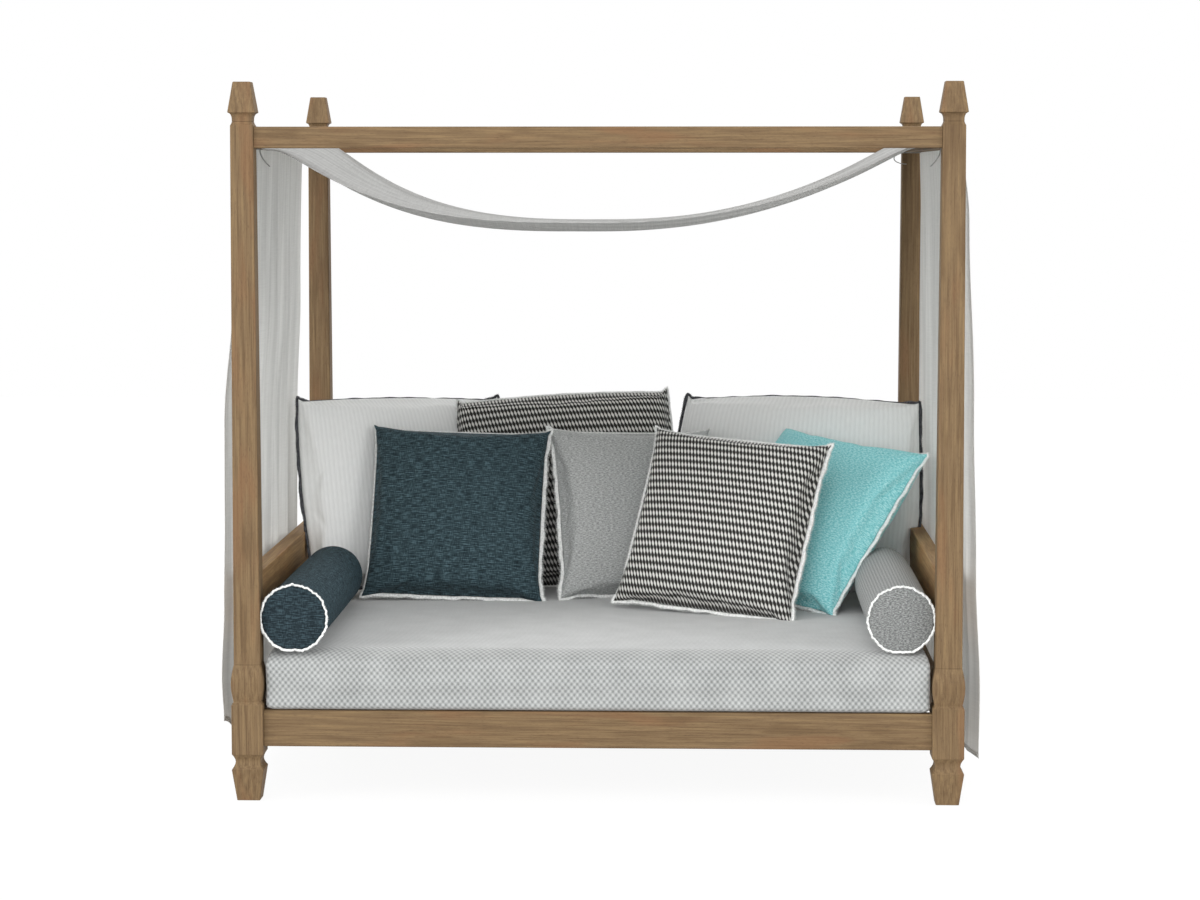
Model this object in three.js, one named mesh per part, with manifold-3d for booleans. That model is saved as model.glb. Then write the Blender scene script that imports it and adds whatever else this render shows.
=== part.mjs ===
// Outdoor daybed with a canopy, in millimetres: +Z up, +X to the right as seen from the front, +Y to the back.
// Four square-carved legs carry seat rails, slats and a thick mattress. Tapered posts stand on the legs,
// hold arm and back boards and four canopy rails, and end in carved finials. A cloth sags between the side
// rails and hangs down outside them as two curtains. Two bolsters and seven loose pillows lie on the mattress.
// The origin is on the floor, under the middle of the bed.
import * as THREE from 'three';
import { mergeVertices } from 'three/addons/utils/BufferGeometryUtils.js';
import Module from 'manifold-3d';

const wasm = await Module();
wasm.setup();

// Driving dimensions
const bedWidth = 1920; // between post centres, left to right
const bedDepth = 1611; // between post centres, front to back
const seamHeight = 378; // where a post stands on its leg
const shoulderHeight = 1850; // top of a post's straight taper
const seatRailTop = 251;
const canopyRailTop = 1847;
const armTop = 621;
const mattressThick = 167;

// Clearances and working allowances
const fit = 0.3; // between touching pieces
const overrun = 5; // how far a cut runs past a face
const arris = 2; // eased edge of every timber

// Leg, from the floor up, as half widths and heights
const footToeHalf = 31.5;
const footHeelHalf = 44;
const footHeight = 87;
const legCoveHalf = 34.5;
const legCoveHeight = 43;
const blockHalf = 43.6;
const blockHeight = 145;
const blockBevelWide = 5.6;
const blockBevelHigh = 9;
const vaseSwell = 7.2;
const postFootHalf = 36.6; // also the vase's width at the seam

// Post and finial
const postTopHalf = 31.2;
const neckFlare = 11; // height of the curve between shoulder and neck
const neckHalf = 26.8;
const neckCoveDepth = 0.8;
const finialNeckHeight = 5;
const finialCoveHeight = 19;
const finialLipHalf = 37.2;
const finialLipHeight = 1.6;
const finialHeight = 107;
const finialTopHalf = 24.4;
const finialTopBevel = 1.5;
const postSpigotRadius = 15;
const postSpigotLength = 60;
const finialSpigotRadius = 7;
const finialSpigotLength = 20;
const roundSides = 20;
const carveSteps = 6;

// Rails and boards
const seatRailHigh = 100;
const seatRailThick = 36;
const seatRailSetBack = 13.6; // behind the leg block's outer face
const seatTenonThick = 12;
const seatTenonHigh = 70;
const seatTenonLong = 30;
const canopyRailHigh = 58;
const canopyRailThick = 44;
const canopyTenonThick = 12;
const canopyTenonHigh = 36;
const canopyTenonLong = 20;
const canopyTenonDrop = 13; // from the rail's top to the tenon's top
const boardHigh = 180;
const boardThick = 45;
const boardTenonThick = 15;
const boardTenonHigh = 130;
const boardTenonLong = 22;

// Slat base
const slatCount = 9;
const slatWide = 120;
const slatThick = 20;
const ledgerHigh = 40;
const ledgerThick = 28;
const ledgerBraceGap = 8; // between a ledger's end and the corner brace
const slatEndClearance = 2;
const centreBeamWide = 45;
const centreBeamHigh = 60;
const centreBeamTenonLong = 15;
const centreBeamTenonHigh = 44;
const centreBeamTenonThick = 20;
const slatLegGap = 12; // between the first or last slat and the legs beside it

// Corner braces with their bolts
const braceReach = 90; // from the post's centre line to where the brace meets a rail
const braceFlange = 34;
const braceThick = 3;
const braceHigh = 64;
const braceDrop = 24; // below the rail's top
const boltRadius = 4;
const boltSeatDepth = 40; // how deep the bolt sits in the leg
const boltTail = 16;
const nutRadius = 7.5;
const nutThick = 6.5;
const nutSides = 6;

// Mattress
const mattressSideGap = 3.3; // to the legs' blocks
const mattressEdgeRound = 16;
const mattressRoundSteps = 3;
const mattressCornerRadius = 34;
const mattressCornerSteps = 4;
const mattressSideSteps = 3;
const mattressCrown = 6;
const mattressCrownShares = [[0.25, 0.7], [0.5, 1]]; // how far in, of the half depth, and how far up the crown
const mattressPullIn = 4;

// Bolsters
const bolsterRadius = 90;
const bolsterLength = 905;
const bolsterEndCrown = 7;
const bolsterEdgeRound = 7;
const bolsterSink = 3;
const bolsterArmGap = 14.5; // between a bolster and the arm board's inner face
const bolsterSides = 24;
const bolsterFrontShares = { left: -0.014, right: 0 }; // of the bed's depth, from the front posts

// Pillows: kinds, then where each stands
const pillowRim = 3; // half thickness at the sewn edge
const pillowDrawIn = 0.07; // share of the half size by which the sides pull in
const pillowBulgePower = 2.2;
const pillowSteps = 8;
const pillowSink = 1.5;
const pillowKinds = {
  ribbed: { width: 767, height: 606, plump: 78 },
  lounge: { width: 693, height: 597, plump: 74 },
  throw: { width: 556, height: 551, plump: 84 },
  small: { width: 518, height: 532, plump: 80 },
  large: { width: 576, height: 606, plump: 84 },
};
// Foot of each pillow as shares of the bed's width and depth from its middle, then its turn about the
// vertical, its lean to the back and its roll in its own plane, in degrees
const pillowPlaceShares = [
  { name: 'pillow_ribbed_left', kind: 'ribbed', x: -0.3162, y: 0.2492, turn: 37, lean: 14.2, roll: -2.2 },
  { name: 'pillow_ribbed_right', kind: 'ribbed', x: 0.293, y: 0.2756, turn: -15, lean: 15.3, roll: -0.1 },
  { name: 'pillow_check_rear', kind: 'lounge', x: -0.0657, y: 0.2698, turn: -1.8, lean: 11.8, roll: 3.5 },
  { name: 'pillow_grey', kind: 'small', x: 0.0559, y: 0.1426, turn: 19.2, lean: 21.2, roll: -1.9 },
  { name: 'pillow_navy', kind: 'throw', x: -0.2484, y: 0.0741, turn: -0.1, lean: 22.2, roll: -1.9 },
  { name: 'pillow_aqua', kind: 'large', x: 0.242, y: 0.0392, turn: -39, lean: 40.8, roll: -6.4 },
  { name: 'pillow_check_front', kind: 'throw', x: 0.1499, y: -0.089, turn: -20.7, lean: 26.2, roll: -3.9 },
];

// Canopy cloth
const clothThick = 3;
const sag = 278; // below the side rails' tops, at the front and the back alike
const sagPowers = { left: 3, right: 2.2 };
const canopyEdgeGap = 9; // between the cloth's front or rear edge and the posts
const ruffleHigh = 7;
const ruffleCount = 5;
const ruffleSlant = 1.6; // how far the ruffles drift across the cloth, in radians
const hugDepth = 42; // how much deeper the cloth falls where it leaves the rail's inner face
const hugReach = 20; // distance from the rail at which that is deepest
const canopySteps = { across: 24, overRail: 1, down: 9 };

// Curtains
const curtainSteps = { across: 32, down: 9 };
const hemHeight = 112;
const hemWave = 12;
const hemWaveCount = 1.5;
// Each curtain's width along the rail and at the hem are shares of the bed's depth. It flares out by flare at
// the hem, the sooner the lower earlyFlare is, and lift raises its front corner
const curtains = {
  left: { reachShare: 0.815, footShare: 0.745, flare: 49, folds: 5.5, lift: 92, earlyFlare: 1.1 },
  right: { reachShare: 0.965, footShare: 0.9, flare: 49, folds: 6.5, lift: 0, earlyFlare: 0.45 },
};
const foldDepth = 13;
const foldTopShare = 0.4; // depth of the folds where they start, against the hem
const foldStartShare = 0.33; // part of the drop over which the folds set in
const liftWideShare = 0.08; // part of the hem's length that the lift fades over
const curtainFrontInset = 18; // behind the posts' rear faces at the hem

// Corner ties
const tieWide = 10;
const tieThick = 1.6;
const tieRise = 24; // up the rail's inner face
const tieFromPost = { front: 150, rear: 112 }; // from the post's centre line
const tieTails = {
  front: { drop: 48, drift: 27, curled: false },
  rear: { drop: 36, drift: 40, curled: true },
};
const tieTailSteps = 10;

// Finishes
const finish = (color, roughness, metalness) => ({ color, roughness, metalness });
const finishes = {
  teak: finish(0x927858, 0.72, 0),
  zinc: finish(0xa9acaf, 0.42, 0.9),
  mattress: finish(0xc6c8ca, 0.95, 0),
  ribbed: finish(0xd4d6d6, 0.95, 0),
  check: finish(0x8b8783, 0.95, 0),
  navy: finish(0x2c3d45, 0.95, 0),
  grey: finish(0x969799, 0.95, 0),
  aqua: finish(0x6fb3b5, 0.95, 0),
  canopy: finish(0xc3c6c7, 0.9, 0),
};

// Derived places
const halfWidth = bedWidth / 2;
const halfDepth = bedDepth / 2;
const neckSeam = shoulderHeight + neckFlare;
const blockFoot = footHeight + legCoveHeight;
const blockTop = blockFoot + blockHeight;
const vaseFootHalf = blockHalf - blockBevelWide;
const mattressBottom = seatRailTop + fit;
const mattressTop = seatRailTop + mattressThick;
const railOuter = canopyRailThick / 2;
const sides = { left: -1, right: 1 };
const ends = { front: -1, rear: 1 };
const up = new THREE.Vector3(0, 0, 1);

const group = new THREE.Group();

// Mesh and solid helpers

// Closed solid from an indexed or plain geometry, with its shared corners merged
function solid(geometry) {
  const bare = geometry.index ? geometry.clone() : geometry;
  bare.deleteAttribute('normal');
  bare.deleteAttribute('uv');
  const merged = mergeVertices(bare);
  const mesh = new wasm.Mesh({
    numProp: 3,
    vertProperties: new Float32Array(merged.attributes.position.array),
    triVerts: new Uint32Array(merged.index.array),
  });
  return new wasm.Manifold(mesh);
}

// Geometry of a solid, ready for a mesh
function geometryOf(body) {
  const mesh = body.getMesh();
  const geometry = new THREE.BufferGeometry();
  geometry.setAttribute('position', new THREE.BufferAttribute(mesh.vertProperties, 3));
  geometry.setIndex(new THREE.BufferAttribute(mesh.triVerts, 1));
  geometry.computeVertexNormals();
  return geometry;
}

// Adds one named piece to the model, or to one of its groups
function addPiece(name, body, finishName, parent = group) {
  const look = finishes[finishName];
  const mesh = new THREE.Mesh(geometryOf(body), new THREE.MeshStandardMaterial(look));
  mesh.name = name;
  parent.add(mesh);
  return mesh;
}

// Solid from a list of points, three numbers each, and a list of their triangles
function solidOf(positions, index) {
  const geometry = new THREE.BufferGeometry();
  geometry.setAttribute('position', new THREE.Float32BufferAttribute(positions, 3));
  geometry.setIndex(index);
  return solid(geometry);
}

// Solid between rings of points: every ring has the same number of points, counter-clockwise from the end
function loft(rings) {
  const count = rings[0].length;
  const positions = rings.flatMap((ring) => ring.flatMap((point) => point.toArray()));
  const index = [];
  for (let level = 0; level < rings.length - 1; level += 1) {
    for (let i = 0; i < count; i += 1) {
      const next = (i + 1) % count;
      const a = level * count + i;
      const b = level * count + next;
      index.push(a, b, b + count, a, b + count, a + count);
    }
  }
  const last = (rings.length - 1) * count;
  for (let i = 1; i < count - 1; i += 1) {
    index.push(0, i + 1, i);
    index.push(last, last + i, last + i + 1);
  }
  return solidOf(positions, index);
}

// Solid between two facing grids of points, closed around their rim: pointAt takes the side, 1 or -1, and the
// shares across and down
function twoSided(pointAt, across, down) {
  const row = across + 1;
  const back = row * (down + 1);
  const positions = [1, -1].flatMap((side) => shares(down)
    .flatMap((v) => shares(across).flatMap((u) => pointAt(side, u, v).toArray())));
  const index = [];
  for (let j = 0; j < down; j += 1) {
    for (let i = 0; i < across; i += 1) {
      const a = j * row + i;
      index.push(a, a + 1, a + row + 1, a, a + row + 1, a + row);
      index.push(back + a, back + a + row + 1, back + a + 1, back + a, back + a + row, back + a + row + 1);
    }
  }
  const rim = [];
  for (let i = 0; i < across; i += 1) rim.push(i);
  for (let j = 0; j < down; j += 1) rim.push(j * row + across);
  for (let i = across; i > 0; i -= 1) rim.push(down * row + i);
  for (let j = down; j > 0; j -= 1) rim.push(j * row);
  rim.forEach((a, k) => {
    const b = rim[(k + 1) % rim.length];
    index.push(a, back + a, back + b, a, back + b, b);
  });
  return solidOf(positions, index);
}

// Rectangle with eased corners, centred, as a loop of eight points in two directions
function easedLoop(halfU, halfV, ease) {
  const points = [];
  [[1, 1], [-1, 1], [-1, -1], [1, -1]].forEach(([u, v]) => {
    const first = [u * halfU, v * (halfV - ease)];
    const second = [u * (halfU - ease), v * halfV];
    points.push(...(u * v > 0 ? [first, second] : [second, first]));
  });
  return points;
}

// Square-section carving on the upright axis: a stack of eased squares from a profile of [half width, height]
function squareCarved(profile) {
  return loft(profile.map(([half, z]) => easedLoop(half, half, arris)
    .map(([u, v]) => new THREE.Vector3(u, v, z))));
}

// Plain block between two corners
function block(low, high) {
  const size = high.map((value, i) => value - low[i]);
  const geometry = new THREE.BoxGeometry(...size);
  geometry.translate(...low.map((value, i) => value + size[i] / 2));
  return solid(geometry);
}

// Timber with eased long edges between two corners, with its grain along one axis (0 for x, 1 for y)
function timber(low, high, axis) {
  const across = 1 - axis;
  const middle = (low[across] + high[across]) / 2;
  const height = (low[2] + high[2]) / 2;
  const loop = easedLoop((high[across] - low[across]) / 2, (high[2] - low[2]) / 2, arris);
  const ring = (place) => loop.map(([u, v]) => (axis === 0
    ? new THREE.Vector3(place, middle + u, height + v)
    : new THREE.Vector3(middle - u, place, height + v)));
  return loft([ring(low[axis]), ring(high[axis])]);
}

// Round pin on the upright axis, between two heights
function roundPin(low, high, radius) {
  const geometry = new THREE.CylinderGeometry(radius, radius, high - low, roundSides);
  geometry.rotateX(Math.PI / 2);
  geometry.translate(0, 0, (low + high) / 2);
  return solid(geometry);
}

const grown = ({ low, high }, by) => block(low.map((v) => v - by), high.map((v) => v + by));
const lerp = THREE.MathUtils.lerp;
const shares = (count) => Array.from({ length: count + 1 }, (unused, i) => i / count);

// Carved profiles

// Hollow between two edges: a straight line less a half wave of the given depth
const cove = (fromHalf, fromZ, toHalf, toZ, depth) => shares(carveSteps)
  .map((t) => [lerp(fromHalf, toHalf, t) - depth * Math.sin(Math.PI * t), lerp(fromZ, toZ, t)]);

const legProfile = [
  [footToeHalf, 0],
  ...cove(footHeelHalf, footHeight, blockHalf, blockFoot, footHeelHalf - legCoveHalf),
  [blockHalf, blockTop - blockBevelHigh],
  [vaseFootHalf, blockTop],
  ...cove(vaseFootHalf, blockTop, postFootHalf, seamHeight - fit, -vaseSwell).slice(1),
];

const postProfile = [
  [postFootHalf, seamHeight],
  ...cove(postTopHalf, shoulderHeight, neckHalf, neckSeam - fit, neckCoveDepth),
];

const finialLipZ = neckSeam + finialNeckHeight + finialCoveHeight;
const finialProfile = [
  [neckHalf, neckSeam],
  ...shares(carveSteps).map((t) => [
    lerp(neckHalf, finialLipHalf, 1 - Math.sqrt(1 - t * t)),
    neckSeam + finialNeckHeight + finialCoveHeight * t,
  ]),
  [finialLipHalf, finialLipZ + finialLipHeight],
  [finialTopHalf, neckSeam + finialHeight - finialTopBevel],
  [finialTopHalf - finialTopBevel, neckSeam + finialHeight],
];

const postHalfAt = (z) => lerp(postFootHalf, postTopHalf, (z - seamHeight) / (shoulderHeight - seamHeight));

// Rails and boards: each runs between two uprights and has a tenon at either end

// One rail as its body and tenon boxes: axis 0 runs left to right, and offset is its middle on the other axis
function railBoxes({ axis, offset, thick, bottom, top, shoulder, tenon }) {
  const reach = (axis === 0 ? halfWidth : halfDepth) - shoulder - fit;
  const span = (from, to, halfThick, low, high) => (axis === 0
    ? { low: [from, offset - halfThick, low], high: [to, offset + halfThick, high] }
    : { low: [offset - halfThick, from, low], high: [offset + halfThick, to, high] });
  return {
    axis,
    body: span(-reach, reach, thick / 2, bottom, top),
    tenons: span(-reach - tenon.long, reach + tenon.long, tenon.thick / 2, tenon.bottom, tenon.top),
  };
}

const railSolid = (rail) => timber(rail.body.low, rail.body.high, rail.axis)
  .add(block(rail.tenons.low, rail.tenons.high));

const seatRailOffset = blockHalf - seatRailSetBack - seatRailThick / 2;
const seatTenonBottom = seatRailTop - (seatRailHigh + seatTenonHigh) / 2;
const seatRail = (axis, offset) => railBoxes({
  axis,
  offset,
  thick: seatRailThick,
  bottom: seatRailTop - seatRailHigh,
  top: seatRailTop,
  shoulder: blockHalf,
  tenon: {
    thick: seatTenonThick, long: seatTenonLong, bottom: seatTenonBottom, top: seatTenonBottom + seatTenonHigh,
  },
});
const canopyRail = (axis, offset) => railBoxes({
  axis,
  offset,
  thick: canopyRailThick,
  bottom: canopyRailTop - canopyRailHigh,
  top: canopyRailTop,
  shoulder: postHalfAt(canopyRailTop - canopyRailHigh),
  tenon: {
    thick: canopyTenonThick,
    long: canopyTenonLong,
    bottom: canopyRailTop - canopyTenonDrop - canopyTenonHigh,
    top: canopyRailTop - canopyTenonDrop,
  },
});
const boardTenonBottom = armTop - (boardHigh + boardTenonHigh) / 2;
const sideBoard = (axis, offset) => railBoxes({
  axis,
  offset,
  thick: boardThick,
  bottom: armTop - boardHigh,
  top: armTop,
  shoulder: postHalfAt(armTop - boardHigh),
  tenon: {
    thick: boardTenonThick,
    long: boardTenonLong,
    bottom: boardTenonBottom,
    top: boardTenonBottom + boardTenonHigh,
  },
});

const seatRails = {
  seat_rail_front: seatRail(0, -halfDepth - seatRailOffset),
  seat_rail_rear: seatRail(0, halfDepth + seatRailOffset),
  seat_rail_left: seatRail(1, -halfWidth - seatRailOffset),
  seat_rail_right: seatRail(1, halfWidth + seatRailOffset),
};
const canopyRails = {
  canopy_rail_front: canopyRail(0, -halfDepth),
  canopy_rail_rear: canopyRail(0, halfDepth),
  canopy_rail_left: canopyRail(1, -halfWidth),
  canopy_rail_right: canopyRail(1, halfWidth),
};
const boards = {
  arm_board_left: sideBoard(1, -halfWidth),
  arm_board_right: sideBoard(1, halfWidth),
  back_board: sideBoard(0, halfDepth),
};

// Corners: leg, post, finial, brace and bolt are drawn around the post's centre line, with the bed's middle at
// +x, +y of it, and a group turns them into their place

const railInner = seatRailOffset - seatRailThick / 2; // inner face from the post's centre line, outward
const braceTop = seatRailTop - braceDrop;
const boltHeight = braceTop - braceHigh / 2;
const diagonalFace = (braceReach - railInner + fit) / Math.SQRT2; // outer side of the plate's slanted part
const plateInner = diagonalFace + braceThick;
const boltStart = blockHalf * Math.SQRT2 - boltSeatDepth;

// Plate outline in plan: two flanges along the rails and a slanted part between them
function braceOutline() {
  const face = -railInner + fit;
  const near = face + braceThick;
  const bend = braceThick * Math.tan(Math.PI / 8);
  const shape = new THREE.Shape();
  shape.moveTo(braceReach + braceFlange, face);
  shape.lineTo(braceReach + braceFlange, near);
  shape.lineTo(braceReach + bend, near);
  shape.lineTo(near, braceReach + bend);
  shape.lineTo(near, braceReach + braceFlange);
  shape.lineTo(face, braceReach + braceFlange);
  shape.lineTo(face, braceReach);
  shape.lineTo(braceReach, face);
  return shape;
}

// Bar along the corner's diagonal, from one distance to another from the post's centre line
function diagonalBar(from, to, radius, count = roundSides) {
  const geometry = new THREE.CylinderGeometry(radius, radius, to - from, count);
  geometry.translate(0, (from + to) / 2, 0);
  geometry.rotateZ(-Math.PI / 4);
  geometry.translate(0, 0, boltHeight);
  return solid(geometry);
}

function braceSolid() {
  const geometry = new THREE.ExtrudeGeometry(braceOutline(), { depth: braceHigh, bevelEnabled: false });
  geometry.translate(0, 0, braceTop - braceHigh);
  return solid(geometry).subtract(diagonalBar(diagonalFace - overrun, plateInner + overrun, boltRadius + fit));
}

function boltSolid() {
  const shank = diagonalBar(boltStart, plateInner + boltTail, boltRadius);
  return shank.add(diagonalBar(plateInner + fit, plateInner + fit + nutThick, nutRadius, nutSides));
}

// Mortise for a rail that meets the front left post, as seen from that post's centre line
function mortise(rail) {
  const fromPost = ([x, y, z]) => [x + halfWidth, y + halfDepth, z];
  return grown({ low: fromPost(rail.tenons.low), high: fromPost(rail.tenons.high) }, fit);
}

function legSolid() {
  return squareCarved(legProfile)
    .subtract(mortise(seatRails.seat_rail_front))
    .subtract(mortise(seatRails.seat_rail_left))
    .subtract(roundPin(seamHeight - postSpigotLength - fit, seamHeight + overrun, postSpigotRadius + fit))
    .subtract(diagonalBar(boltStart - fit, plateInner, boltRadius + fit));
}

// Post with its mortises: two canopy rails meet it, and a board along each of the given axes
function postSolid(boardAxes) {
  const frontLeft = [-halfDepth, -halfWidth];
  const meeting = [
    canopyRails.canopy_rail_front,
    canopyRails.canopy_rail_left,
    ...boardAxes.map((axis) => sideBoard(axis, frontLeft[axis])),
  ];
  const whole = squareCarved(postProfile)
    .add(roundPin(seamHeight - postSpigotLength, seamHeight + overrun, postSpigotRadius))
    .subtract(roundPin(neckSeam - finialSpigotLength - fit, neckSeam + overrun, finialSpigotRadius + fit));
  return meeting.reduce((post, rail) => post.subtract(mortise(rail)), whole);
}

const finialSolid = () => squareCarved(finialProfile)
  .add(roundPin(neckSeam - finialSpigotLength, neckSeam + overrun, finialSpigotRadius));

const corners = {
  front_left: { x: -1, y: -1, quarterTurns: 0, boardAxes: [1] },
  front_right: { x: 1, y: -1, quarterTurns: 1, boardAxes: [0] },
  rear_right: { x: 1, y: 1, quarterTurns: 2, boardAxes: [0, 1] },
  rear_left: { x: -1, y: 1, quarterTurns: 3, boardAxes: [0, 1] },
};
Object.entries(corners).forEach(([cornerName, { x, y, quarterTurns, boardAxes }]) => {
  const corner = new THREE.Group();
  corner.position.set(x * halfWidth, y * halfDepth, 0);
  corner.rotation.z = quarterTurns * Math.PI / 2;
  group.add(corner);
  addPiece(`leg_${cornerName}`, legSolid(), 'teak', corner);
  addPiece(`post_${cornerName}`, postSolid(boardAxes), 'teak', corner);
  addPiece(`finial_${cornerName}`, finialSolid(), 'teak', corner);
  addPiece(`corner_brace_${cornerName}`, braceSolid(), 'zinc', corner);
  addPiece(`corner_bolt_${cornerName}`, boltSolid(), 'zinc', corner);
});

// Slat base

const slatTop = seatRailTop;
const slatBottom = slatTop - slatThick;
const slatHalfLength = halfDepth + railInner - slatEndClearance;
const railInnerX = halfWidth + railInner;
const slatPitch = 2 * (halfWidth - blockHalf - slatLegGap - slatWide / 2) / (slatCount - 1);

const beamTop = slatBottom - fit;
const beamTenonTop = beamTop - (centreBeamHigh - centreBeamTenonHigh) / 2;
const beamTenons = {
  low: [-railInnerX - centreBeamTenonLong, -centreBeamTenonThick / 2, beamTenonTop - centreBeamTenonHigh],
  high: [railInnerX + centreBeamTenonLong, centreBeamTenonThick / 2, beamTenonTop],
};
const centreBeam = timber(
  [-railInnerX + fit, -centreBeamWide / 2, beamTop - centreBeamHigh],
  [railInnerX - fit, centreBeamWide / 2, beamTop],
  0,
).add(block(beamTenons.low, beamTenons.high));
addPiece('centre_beam', centreBeam, 'teak');

Object.entries(seatRails).forEach(([name, rail]) => {
  const body = rail.axis === 1 ? railSolid(rail).subtract(grown(beamTenons, fit)) : railSolid(rail);
  addPiece(name, body, 'teak');
});

for (let i = 0; i < slatCount; i += 1) {
  const low = [-slatWide / 2, -slatHalfLength, slatBottom];
  const high = [slatWide / 2, slatHalfLength, slatTop];
  const slat = addPiece(`slat_${i + 1}`, timber(low, high, 1), 'teak');
  slat.position.x = (i - (slatCount - 1) / 2) * slatPitch;
}

Object.entries(ends).forEach(([endName, end]) => {
  const reach = halfWidth - braceReach - braceFlange - ledgerBraceGap;
  const low = [-reach, -ledgerThick / 2, slatBottom - fit - ledgerHigh];
  const high = [reach, ledgerThick / 2, slatBottom - fit];
  const ledger = addPiece(`ledger_${endName}`, timber(low, high, 0), 'teak');
  ledger.position.y = end * (halfDepth + railInner - fit - ledgerThick / 2);
});

Object.entries({ ...canopyRails, ...boards })
  .forEach(([name, rail]) => addPiece(name, railSolid(rail), 'teak'));

// Mattress: rounded loops stacked from the slats to a crowned top

const mattressHalfX = halfWidth - blockHalf - mattressSideGap;
const mattressHalfY = halfDepth + seatRailOffset + seatRailThick / 2;

// Rounded rectangle whose sides pull in towards their middles, moved in by inset and out by grow
function cushionLoop(inset, z, grow) {
  const halfX = mattressHalfX - inset + grow;
  const halfY = mattressHalfY - inset + grow;
  const radius = Math.max(mattressCornerRadius - inset / 2, arris);
  const turns = [[1, 1], [-1, 1], [-1, -1], [1, -1]];
  const points = [];
  turns.forEach(([sx, sy], k) => {
    shares(mattressCornerSteps).forEach((t) => {
      const angle = (k + t) * Math.PI / 2;
      points.push([sx * (halfX - radius) + radius * Math.cos(angle),
        sy * (halfY - radius) + radius * Math.sin(angle)]);
    });
    const from = points[points.length - 1];
    const [nx, ny] = turns[(k + 1) % turns.length];
    const to = k % 2 === 0 ? [nx * (halfX - radius), from[1]] : [from[0], ny * (halfY - radius)];
    for (let i = 1; i < mattressSideSteps; i += 1) {
      const t = i / mattressSideSteps;
      const pull = 1 - mattressPullIn * Math.sin(Math.PI * t) / (k % 2 === 0 ? halfY : halfX);
      const x = lerp(from[0], to[0], t);
      const y = lerp(from[1], to[1], t);
      points.push(k % 2 === 0 ? [x, y * pull] : [x * pull, y]);
    }
  });
  return points.map(([x, y]) => new THREE.Vector3(x, y, z));
}

function mattressSolid(grow) {
  const bottom = mattressBottom - grow;
  const top = mattressTop - mattressCrown + grow;
  const round = shares(mattressRoundSteps).map((t) => [
    mattressEdgeRound * (1 - Math.sin(t * Math.PI / 2)),
    mattressEdgeRound * (1 - Math.cos(t * Math.PI / 2)),
  ]);
  return loft([
    ...round.map(([inset, rise]) => cushionLoop(inset, bottom + rise, grow)),
    cushionLoop(mattressPullIn, (bottom + top) / 2, grow),
    ...[...round].reverse().map(([inset, rise]) => cushionLoop(inset, top - rise, grow)),
    ...mattressCrownShares
      .map(([inward, upward]) => cushionLoop(mattressHalfY * inward, top + mattressCrown * upward, grow)),
  ]);
}
addPiece('mattress', mattressSolid(0), 'mattress');

// Bolsters: a turned outline along Y, with crowned ends

const bolsterX = halfWidth - boardThick / 2 - bolsterArmGap - bolsterRadius;
function bolsterSolid(sideName, grow) {
  const radius = bolsterRadius + grow;
  const half = bolsterLength / 2 + grow;
  const end = [
    [0, half],
    [radius / 2, half - bolsterEndCrown / 4],
    [radius - bolsterEdgeRound, half - bolsterEndCrown],
    [radius, half - bolsterEndCrown - bolsterEdgeRound],
  ];
  const profile = [...end.map(([r, y]) => [r, -y]), ...end.slice().reverse()];
  const geometry = new THREE.LatheGeometry(profile.map(([r, y]) => new THREE.Vector2(r, y)), bolsterSides);
  const front = -halfDepth + bolsterFrontShares[sideName] * bedDepth;
  geometry.translate(sides[sideName] * bolsterX, front + bolsterLength / 2,
    mattressTop + bolsterRadius - bolsterSink);
  return solid(geometry);
}

const mattressPress = mattressSolid(fit);
Object.keys(sides).forEach((sideName) => {
  addPiece(`bolster_${sideName}`, bolsterSolid(sideName, 0).subtract(mattressPress),
    sideName === 'left' ? 'navy' : 'grey');
});

// Pillows: two crowned faces on one drawn-in outline, then pressed by what they rest on

// Axes of a pillow's plane and its middle, from where its foot stands
function pillowPose({ kind, x, y, turn, lean, roll }) {
  const { height, width } = pillowKinds[kind];
  const radians = THREE.MathUtils.degToRad;
  const right = new THREE.Vector3(Math.cos(radians(turn)), Math.sin(radians(turn)), 0);
  const back = new THREE.Vector3(-Math.sin(radians(turn)), Math.cos(radians(turn)), 0);
  const tall = up.clone().multiplyScalar(Math.cos(radians(lean))).addScaledVector(back, Math.sin(radians(lean)));
  const c = Math.cos(radians(roll));
  const s = Math.sin(radians(roll));
  const across = right.clone().multiplyScalar(c).addScaledVector(tall, s);
  const upward = right.clone().multiplyScalar(-s).addScaledVector(tall, c);
  const lowest = -Math.abs(across.z) * width / 2;
  const foot = new THREE.Vector3(x * bedWidth, y * bedDepth, mattressTop - pillowSink - lowest);
  const middle = foot.addScaledVector(upward, height / 2);
  return { across, upward, face: across.clone().cross(upward), middle };
}

function pillowSolid(place, grow) {
  const { width, height, plump } = pillowKinds[place.kind];
  const { across, upward, face, middle } = pillowPose(place);
  const pointAt = (side, acrossShare, upShare) => {
    const u = Math.sin((acrossShare - 0.5) * Math.PI);
    const v = Math.sin((upShare - 0.5) * Math.PI);
    const crown = Math.sqrt((1 - Math.abs(u) ** pillowBulgePower) * (1 - Math.abs(v) ** pillowBulgePower));
    return middle.clone()
      .addScaledVector(across, u * (1 - pillowDrawIn * (1 - v * v)) * (width / 2 + grow))
      .addScaledVector(upward, v * (1 - pillowDrawIn * (1 - u * u)) * (height / 2 + grow))
      .addScaledVector(face, side * (pillowRim + grow + (plump - pillowRim) * crown));
  };
  return twoSided(pointAt, pillowSteps, pillowSteps);
}

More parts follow.
